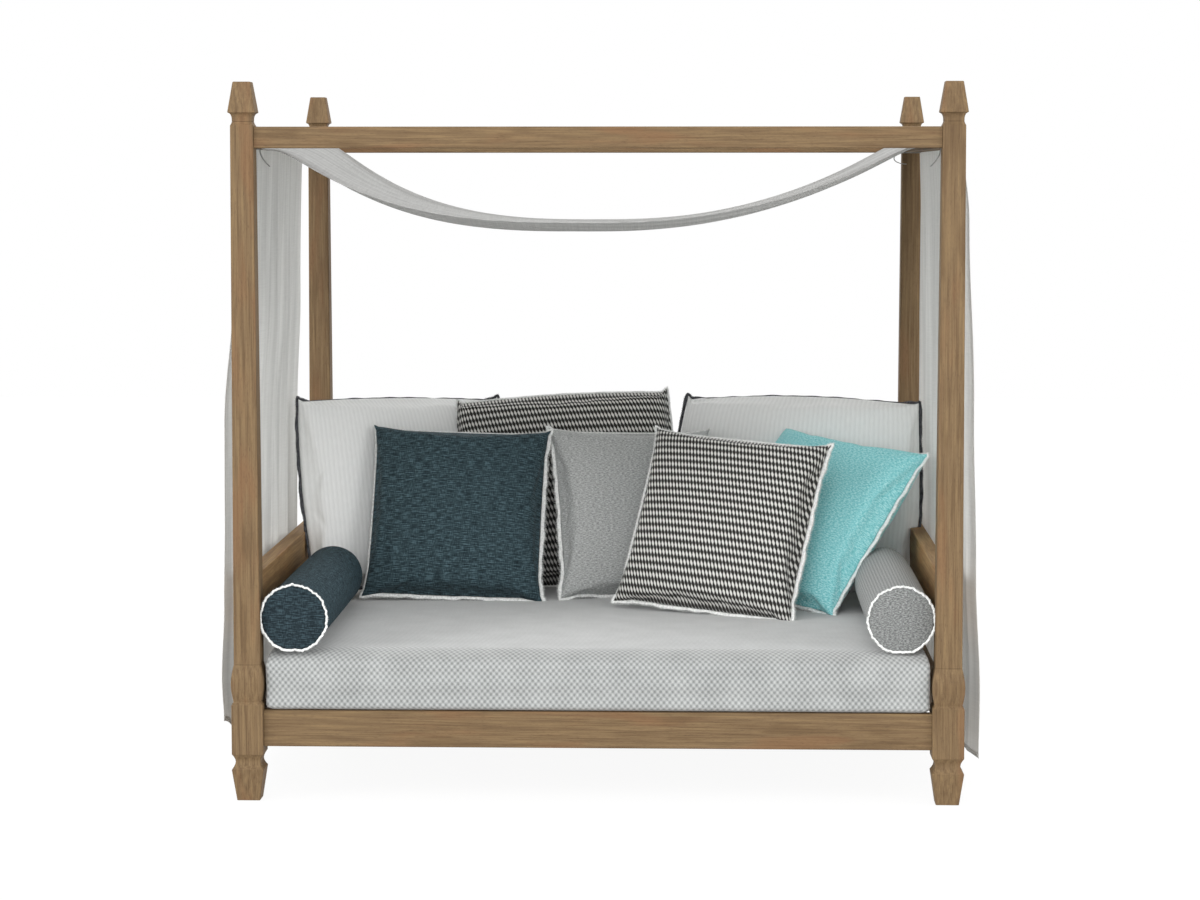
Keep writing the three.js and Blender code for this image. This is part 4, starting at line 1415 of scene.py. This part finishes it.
def pillows() -> list[Pillow]:
    """The seven pillows from the rear ones to the front one, with places and angles as on the bed."""
    thin_edge = FrayedEdge(band=4.5 * MM, fray=2.5 * MM)
    dark_edge = FrayedEdge(CHARCOAL_FRAY, thick=3.2 * MM, fray=3 * MM, folded_top=True, wander=1.2 * MM)
    grey_edge = FrayedEdge(widths=(1.0, 0.6, 0.45, 1.15))
    navy_edge = FrayedEdge(widths=(1.1, 1.15, 0.35, 0.5))
    aqua_edge = FrayedEdge(widths=(1.1, 1.25, 0.4, 0.6))
    check_edge = FrayedEdge(widths=(1.0, 1.2, 0.5, 0.7))
    ribbed_left = Stance(x_share=-0.3162, y_share=0.2492, turn=37, lean=14.2, roll=-2.2)
    ribbed_right = Stance(x_share=0.293, y_share=0.2756, turn=-15, lean=15.3, roll=-0.1)
    check_rear = Stance(x_share=-0.0657, y_share=0.2698, turn=-1.8, lean=11.8, roll=3.5)
    grey = Stance(x_share=0.0559, y_share=0.1426, turn=19.2, lean=21.2, roll=-1.9)
    navy = Stance(x_share=-0.2484, y_share=0.0741, turn=-0.1, lean=22.2, roll=-1.9)
    aqua = Stance(x_share=0.242, y_share=0.0392, turn=-39, lean=40.8, roll=-6.4)
    check_front = Stance(x_share=0.1499, y_share=-0.089, turn=-20.7, lean=26.2, roll=-3.9)
    rows = (
        ("ribbed_left", "ribbed", RIBBED_CUT, ribbed_left, RIBBED_COVER, dark_edge, 11, 8 * MM, -0.04),
        ("ribbed_right", "ribbed", RIBBED_CUT, ribbed_right, RIBBED_COVER, dark_edge, 12, 18 * MM, -0.07),
        ("check_rear", "check", LOUNGE_CUT, check_rear, CHECK_COVER, thin_edge, 13, 14 * MM, -0.04),
        ("grey", "grey", SMALL_CUT, grey, GREY_COVER, grey_edge, 14, 18 * MM),
        ("navy", "navy", THROW_CUT, navy, NAVY_COVER, navy_edge, 15),
        ("aqua", "aqua", LARGE_CUT, aqua, AQUA_COVER, aqua_edge, 16, 15 * MM),
        ("check_front", "check", THROW_CUT, check_front, CHECK_COVER, check_edge, 17, 20 * MM),
    )
    return [Pillow(f"pillow_{name}", *values) for name, *values in rows]


# Cloths


@dataclass
class Cloth:
    """A thin cloth made from a grid of points, with its weave coordinates measured along its threads."""

    bed: Bed
    thick: float = 1.4 * MM
    # The darker canopy copy of the voile: painted shade.
    finish: Finish = CANOPY_VOILE_PAINTED_SHADE
    rail_gap: float = 1.8 * MM
    post_gap: float = 9 * MM
    hem_wide: float = 15 * MM
    hem_thick: float = 3.4 * MM
    hem_out: float = 1 * MM
    hem_sides: int = 8

    def sheet(
        self, name: str, points: np.ndarray, flip: bool = False
    ) -> tuple[bpy.types.Object, tuple[float, float], float]:
        """Make a cloth piece from rows of points.

        Args:
            name: The piece's name.
            points: Rows by columns by three.
            flip: Whether to turn the faces over.

        Returns:
            The piece, the flat width and length that it was cut to, and its area.
        """
        rows, columns = points.shape[:2]
        across = np.linalg.norm(np.diff(points, axis=1), axis=2)
        down = np.linalg.norm(np.diff(points, axis=0), axis=2)
        u = np.concatenate([np.zeros((rows, 1)), np.cumsum(across, axis=1)], axis=1)
        v = np.concatenate([np.zeros((1, columns)), np.cumsum(down, axis=0)], axis=0)
        weave = np.stack([u.mean(axis=0, keepdims=True) + 0 * u, v], axis=-1).reshape(-1, 2)
        faces = grid_faces(rows, columns)
        if flip:
            faces = faces[:, ::-1]
        piece = make_piece(name, points.reshape(-1, 3), [faces], self.finish.material(), [weave[faces]])
        configure(piece.modifiers.new("Thickness", "SOLIDIFY"), thickness=self.thick, offset=0.0)
        corner = points.reshape(-1, 3)[faces]
        crossed = np.cross(corner[:, 2] - corner[:, 0], corner[:, 3] - corner[:, 1])
        area = 0.5 * np.linalg.norm(crossed, axis=1).sum()
        flat = (float(u[:, -1].max()), float(v[-1].max()))
        return piece, flat, float(min(area, flat[0] * flat[1]))

    def hem(self, name: str, line: np.ndarray, inward: np.ndarray, flat: np.ndarray) -> bpy.types.Object:
        """Make a turned hem: a flattened tube around a cloth's edge.

        Args:
            name: The piece's name.
            line: Points of the cloth's edge.
            inward: Direction from the edge into the cloth, at each point.
            flat: The cloth's normal at each point.

        Returns:
            The hem, riding on the bed.
        """
        sides, count = self.hem_sides, len(line)
        centre = line + inward * (self.hem_wide / 2 - self.hem_out)
        ring = rings_round(centre, inward * self.hem_wide / 2, flat * self.hem_thick / 2, sides)
        end = np.arange(sides)[None]
        parts = [grid_faces(count, sides, closed=True), end[:, ::-1], (count - 1) * sides + end]
        over = np.abs(np.cos(np.arange(sides) * TURN / sides))[None] * self.hem_wide
        weave = np.stack(np.broadcast_arrays(over, arc_length(line)[:, None]), axis=-1).reshape(-1, 2)
        uv = [weave[part] for part in parts]
        piece = make_piece(name, ring.reshape(-1, 3), parts, self.finish.material(), uv)
        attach(piece, BODY)
        return piece


@dataclass
class Canopy(Cloth):
    """The sheet that hangs between the side rails.

    From each rail it falls close to the rail's inner face and then follows z = rest - sag * (1 - |x/w|^p).
    Long shallow folds run from rail to rail, deepest in the middle.
    """

    sag: float = 278 * MM
    power_left: float = 3.0
    power_right: float = 2.2
    ruffle: float = 11 * MM
    ruffle_count: float = 5
    ruffle_slant: float = 1.6
    hug_depth: float = 42 * MM
    hug_reach: float = 20 * MM
    hug_fade: float = 0.75
    front_rise: float = 15 * MM
    waves: tuple[tuple[float, float, float], ...] = (
        (11, 2.2 * MM, 0.12),
        (17, 1.5 * MM, 0.2),
        (29, 0.8 * MM, 0.3),
    )
    columns: int = 181
    rows: int = 121
    lap_columns: int = 6

    def surface(self) -> np.ndarray:
        """Points of the sheet, with its rows from front to back and its columns from left to right."""
        bed = self.bed
        half_depth = bed.half_depth - bed.post_top_half - self.post_gap
        rest = bed.rail_top + self.rail_gap
        inner = bed.half_width - bed.rail_half - self.rail_gap
        outer = bed.half_width + bed.rail_half
        v = np.linspace(0, 1, self.rows)[:, None]
        bow = np.sin(np.linspace(-1, 1, self.columns) * math.pi / 2)[None, :]
        x = inner * bow
        away = (inner - np.abs(x)) / self.hug_reach
        power = np.where(x < 0, self.power_left, self.power_right)
        fall = self.sag * (1 - (np.abs(x) / inner) ** power)
        z = rest - fall - self.hug_depth * (1 - self.hug_fade * v) * away * np.exp(1 - away)
        wave = np.cos(TURN * self.ruffle_count * v + self.ruffle_slant * bow) - 1
        folds = ripples(v, bow / 2 + 0.5, self.waves)
        z = z + (self.ruffle * wave + folds + self.front_rise * (1 - v)) * (1 - bow**4)
        y = (2 * v - 1) * half_depth
        lap = inner + (outer - inner) * np.linspace(1, 0, self.lap_columns + 1)[:-1]
        laps = [np.stack(np.broadcast_arrays(line[None], y, rest), axis=-1) for line in (-lap, lap[::-1])]
        return np.concatenate([laps[0], np.stack(np.broadcast_arrays(x, y, z), axis=-1), laps[1]], axis=1)

    def build(self) -> None:
        """Make the sheet with its front and rear hems."""
        points = self.surface()
        piece, flat, area = self.sheet("canopy_voile", points)
        normal = unit(np.cross(points[:, 2:] - points[:, :-2], np.array([0.0, 1.0, 0.0])))
        edge = self.lap_columns + 2
        for name, row, sign in (("canopy_hem_front", 0, 1.0), ("canopy_hem_rear", -1, -1.0)):
            line = points[row, edge:-edge]
            inward = np.tile(np.array([0.0, sign, 0.0]), (len(line), 1))
            self.hem(name, line, inward, normal[row, edge - 1 : 1 - edge])
        stand_for(piece, "canopy_sheet")
        log.info("canopy sheet done")


@dataclass
class Curtain(Cloth):
    """One side curtain: over the side rail, down its outer face, and outwards in folds to an uneven hem.

    Its shares of the bed's depth say how far back it reaches at the rail and at the hem. It stands out by
    swell_mm, given at shares of its fall, and less by rear_calm towards the rear. Its front corner is raised
    by lift. The fine waves are as for ripples, with their numbers in multiples of the folds.
    """

    finish: Finish = CURTAIN_CLOTH
    side: float = 1.0
    name: str = "curtain_right"
    reach_share: float = 0.98
    foot_share: float = 0.93
    rear_calm: float = 0.7
    swell_mm: tuple[tuple[float, float], ...] = (
        (0, 0),
        (0.15, 22),
        (0.45, 36),
        (0.7, 45),
        (0.9, 58),
        (1, 56),
    )
    folds: float = 6.5
    lift: float = 0.0
    lift_wide_share: float = 0.08
    fold_depth: float = 13 * MM
    fold_share: float = 0.92
    fold_top_share: float = 0.4
    fold_start_share: float = 0.33
    fold_sway: float = 0.14
    sway_down: float = 3.1
    sway_back: float = 2.0
    fine_waves: tuple[tuple[float, float, float], ...] = ((2.3, 0.3, 0.12), (3.7, 0.2, 0.2))
    hem_height: float = 112 * MM
    hem_wave: float = 12 * MM
    hem_wave_count: float = 1.5
    front_inset: float = 18 * MM
    columns: int = 200
    rows: int = 120
    row_power: float = 1.15

    def swell(self, v: np.ndarray) -> np.ndarray:
        """How far the curtain's middle line stands out, eased between the knots of swell_mm.

        Args:
            v: Share of its fall, from 0 to 1.

        Returns:
            The distance at each share.
        """
        shares, reaches = np.array(self.swell_mm).T
        after = np.clip(np.searchsorted(shares, v, side="right"), 1, len(shares) - 1)
        local = (v - shares[after - 1]) / (shares[after] - shares[after - 1])
        eased = (1 - np.cos(math.pi * np.clip(local, 0, 1))) / 2
        return MM * (reaches[after - 1] + (reaches[after] - reaches[after - 1]) * eased)

    def surface(self) -> np.ndarray:
        """Points of the curtain, with its rows from the rail down and its columns from front to back."""
        bed = self.bed
        half_depth = bed.half_depth - bed.post_top_half - self.post_gap
        rest = bed.rail_top + self.rail_gap
        u = np.linspace(0, 1, self.columns)[None, :]
        v = (np.linspace(0, 1, self.rows) ** self.row_power)[:, None]
        lifted = self.lift * np.exp(-((u / self.lift_wide_share) ** 2))
        hem = self.hem_height + self.hem_wave * np.sin(TURN * self.hem_wave_count * u) + lifted
        front = -half_depth + self.front_inset * v
        reach = self.reach_share + (self.foot_share - self.reach_share) * np.sqrt(v)
        rear = 2 * bed.half_depth * reach - bed.half_depth
        flared = self.swell(v) * (1 - self.rear_calm * u)
        deepening = self.fold_top_share + (1 - self.fold_top_share) * v
        inner_share = np.sin(math.pi * u) ** 0.5
        sway = np.sin(self.sway_down * v + self.sway_back * u)
        phase = self.folds * u + self.fold_sway * inner_share * sway
        waves = [(self.folds * times, height, wander) for times, height, wander in self.fine_waves]
        fine = inner_share * ripples(u, v, waves)
        depth = self.fold_depth * np.minimum(1, v / self.fold_start_share) * deepening * self.fold_share
        out = self.rail_gap + flared + depth * (np.cos(TURN * phase) + fine)
        x = bed.half_width + bed.rail_half + out
        y = front + (rear - front) * u
        z = rest + (hem - rest) * v
        return np.stack(np.broadcast_arrays(self.side * x, y, z), axis=-1)

    def build(self) -> None:
        """Make the curtain with a hem along its foot."""
        points = self.surface()
        piece, flat, area = self.sheet(f"{self.name}_voile", points, flip=self.side > 0)
        foot = points[-1, 1:-1]
        along = unit(points[-1, 2:] - points[-1, :-2])
        up = unit(points[-2, 1:-1] - foot)
        hem = self.hem(f"{self.name}_hem", foot, up, unit(np.cross(along, up)))
        stand_for(piece, self.name)
        log.info("%s done", self.name)


@dataclass
class CornerTie(Cloth):
    """A flat tape under the side rail, whose tail hangs loose inside it, leaning inwards or curled back."""

    node: str = "corner_tie_front_left"
    drift: float = 27 * MM
    drop: float = 48 * MM
    curled: bool = False
    wide: float = 10 * MM
    thick: float = 2.4 * MM
    rail_gap: float = 1.1 * MM
    end_in: float = 1 * MM
    tail_steps: int = 24
    under_steps: int = 7

    def build(self) -> None:
        """Sweep the tape's flat section along its way."""
        low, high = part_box(self.node)
        side = 1.0 if high.x > 0 else -1.0
        bed = self.bed
        bottom = bed.rail_bottom - self.rail_gap
        inner = bed.half_width - bed.rail_half - self.rail_gap
        outer = bed.half_width + bed.rail_half - self.end_in
        steps = np.linspace(0, 1, self.tail_steps)
        bend = math.pi * steps
        reach = self.drift * (np.sin(bend) if self.curled else steps**2)
        fall = self.drop * ((1 - np.cos(bend)) / 2 if self.curled else steps)
        x = np.concatenate([np.linspace(outer, inner, self.under_steps + 1)[:-1], inner - reach])
        z = np.concatenate([np.full(self.under_steps, bottom), bottom - fall])
        line = np.stack([side * x, np.full(len(x), (low.y + high.y) / 2), z], axis=1)
        across = np.array([0.0, self.wide / 2, 0.0])
        points = np.stack([line - across, line, line + across], axis=1)
        piece, flat, _ = self.sheet(f"{self.node}_tape", points)
        stand_for(piece, self.node)


# Studio


@dataclass
class Studio:
    """Pale floor, soft lights and the photograph's camera.

    Each lamp is a broad soft sun: its name, the degrees from the front to the right that it stands at, its
    degrees above the floor, and its strength in watts a square metre.
    """

    camera_place: tuple[float, float, float] = (0.28129, -8.88399, 1.71438)
    camera_turn: float = 1.936
    camera_dip: float = 5.261
    lens_mm: float = 89.305
    sensor_mm: float = 36.0
    view_end: float = 60.0
    ambient: float = 0.7
    lamp_width: float = 35.0
    lamps: tuple[tuple[str, float, float, float], ...] = (
        ("key", -58.0, 14.0, 1.3),
        ("fill", 58.0, 13.0, 0.95),
        ("front", -3.0, 8.0, 0.65),
        ("top", -5.0, 45.0, 0.75),
        ("rear", 172.0, 40.0, 0.8),
    )
    floor_half: float = 14.0
    floor_drop: float = 1 * MM
    floor_tone: float = 0.8
    floor_glow: float = 0.93
    floor_share: float = 0.12

    def camera(self) -> None:
        """Stand the camera where the picture was taken, level, turned and dipped by its two angles."""
        data = bpy.data.cameras.new("camera")
        configure(data, lens=self.lens_mm, sensor_width=self.sensor_mm, sensor_fit="HORIZONTAL")
        data.clip_end = self.view_end
        camera = link("camera", data)
        camera.location = self.camera_place
        camera.rotation_euler = (math.radians(90 - self.camera_dip), 0.0, math.radians(self.camera_turn))
        bpy.context.scene.camera = camera

    def seen_directly(self, tree: Tree) -> Socket:
        """Tell the rays that look at a thing from those that light it.

        Args:
            tree: The node tree of the world or the floor.

        Returns:
            One for camera, glossy and transmission rays, else nought.
        """
        seen = add(tree, "ShaderNodeLightPath", output="Is Camera Ray")
        rays = seen.node.outputs
        for name in ("Is Glossy Ray", "Is Transmission Ray"):
            seen = add(tree, "ShaderNodeMath", {0: seen, 1: rays[name]}, operation="MAXIMUM")
        return seen

    def world(self) -> None:
        """Even grey light for the object, and plain white where the camera, gloss or glass looks past it."""
        world = bpy.data.worlds.new("studio")
        tree = cleared(world)
        light, white = (
            add(tree, "ShaderNodeBackground", {"Color": (1.0, 1.0, 1.0, 1.0), "Strength": strength})
            for strength in (self.ambient, 1.0)
        )
        both = add(tree, "ShaderNodeMixShader", {0: self.seen_directly(tree), 1: light, 2: white})
        add(tree, "ShaderNodeOutputWorld", {"Surface": both})
        bpy.context.scene.world = world

    def floor(self) -> None:
        """A wide floor that shows white and keeps a soft shadow of the bed."""
        material = bpy.data.materials.new("pale_floor")
        tree = cleared(material)
        matt = add(tree, "ShaderNodeBsdfDiffuse", {"Color": (self.floor_tone,) * 3 + (1.0,)})
        glow = add(tree, "ShaderNodeEmission", {"Strength": self.floor_glow / (1 - self.floor_share)})
        bright = add(tree, "ShaderNodeMixShader", {0: 1 - self.floor_share, 1: matt, 2: glow})
        both = add(tree, "ShaderNodeMixShader", {0: self.seen_directly(tree), 1: matt, 2: bright})
        add(tree, "ShaderNodeOutputMaterial", {"Surface": both})
        corners = self.floor_half * np.array([[-1, -1, 0], [1, -1, 0], [1, 1, 0], [-1, 1, 0]])
        floor = make_piece("floor", corners, [np.array([[0, 1, 2, 3]])], material)
        floor.location.z = -self.floor_drop

    def build(self) -> None:
        """Set up camera, world, floor and lights."""
        bpy.context.scene.view_settings.view_transform = "Standard"
        self.camera()
        self.world()
        self.floor()
        for name, azimuth, height, strength in self.lamps:
            data = bpy.data.lights.new(name, "SUN")
            configure(data, angle=math.radians(self.lamp_width), energy=strength)
            link(name, data).rotation_euler = (math.radians(90 - height), 0.0, math.radians(azimuth))


def main() -> None:
    """Build the studio, dress the frame and make the soft parts, rear to front."""
    logging.basicConfig(level=logging.INFO, format="%(name)s: %(message)s")
    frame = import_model()
    Studio().build()
    bed = Bed.from_frame()

    mattress = Mattress(bed)
    bolsters = [
        Bolster("bolster_left", "navy", NAVY_ROLL_COVER, NAVY_END_PAINTED_SHADE, seed=31, bed=bed),
        Bolster("bolster_right", "grey", GREY_ROLL_COVER, GREY_END_PAINTED_SHADE, seed=41, bed=bed),
    ]
    scatter = pillows()
    mattress_padding = mattress.build()
    bolster_paddings = [bolster.build() for bolster in bolsters]
    pillow_paddings = [pillow.build(bed) for pillow in scatter]
    paddings = [mattress_padding, *bolster_paddings, *pillow_paddings]
    Inflation(paddings).run()
    mattress_padding.settle()
    for bolster, padding in zip(bolsters, bolster_paddings):
        bolster.finish(padding)
    for number, (pillow, padding) in enumerate(zip(scatter, pillow_paddings)):
        pillow.finish(padding, scatter[:number])

    Canopy(bed).build()
    Curtain(
        bed,
        side=-1.0,
        name="curtain_left",
        reach_share=0.88,
        foot_share=0.73,
        rear_calm=0.6,
        folds=5.5,
        lift=92 * MM,
        swell_mm=((0, 0), (0.28, 10), (0.5, 36), (0.65, 37), (0.8, 41), (0.93, 49), (1, 44)),
    ).build()
    Curtain(bed).build()
    sides = ("left", "right")
    ties = [CornerTie(bed, node=f"corner_tie_front_{side}") for side in sides]
    curl = {"drift": 40 * MM, "drop": 36 * MM, "curled": True}
    ties += [CornerTie(bed, node=f"corner_tie_rear_{side}", **curl) for side in sides]
    for tie in ties:
        tie.build()

    soft = {padding.node for padding in paddings}
    soft |= {"canopy_sheet", "curtain_left", "curtain_right", *(tie.node for tie in ties)}
    TeakFrame().dress(frame["nodes"], soft)


if __name__ == "__main__":
    main()
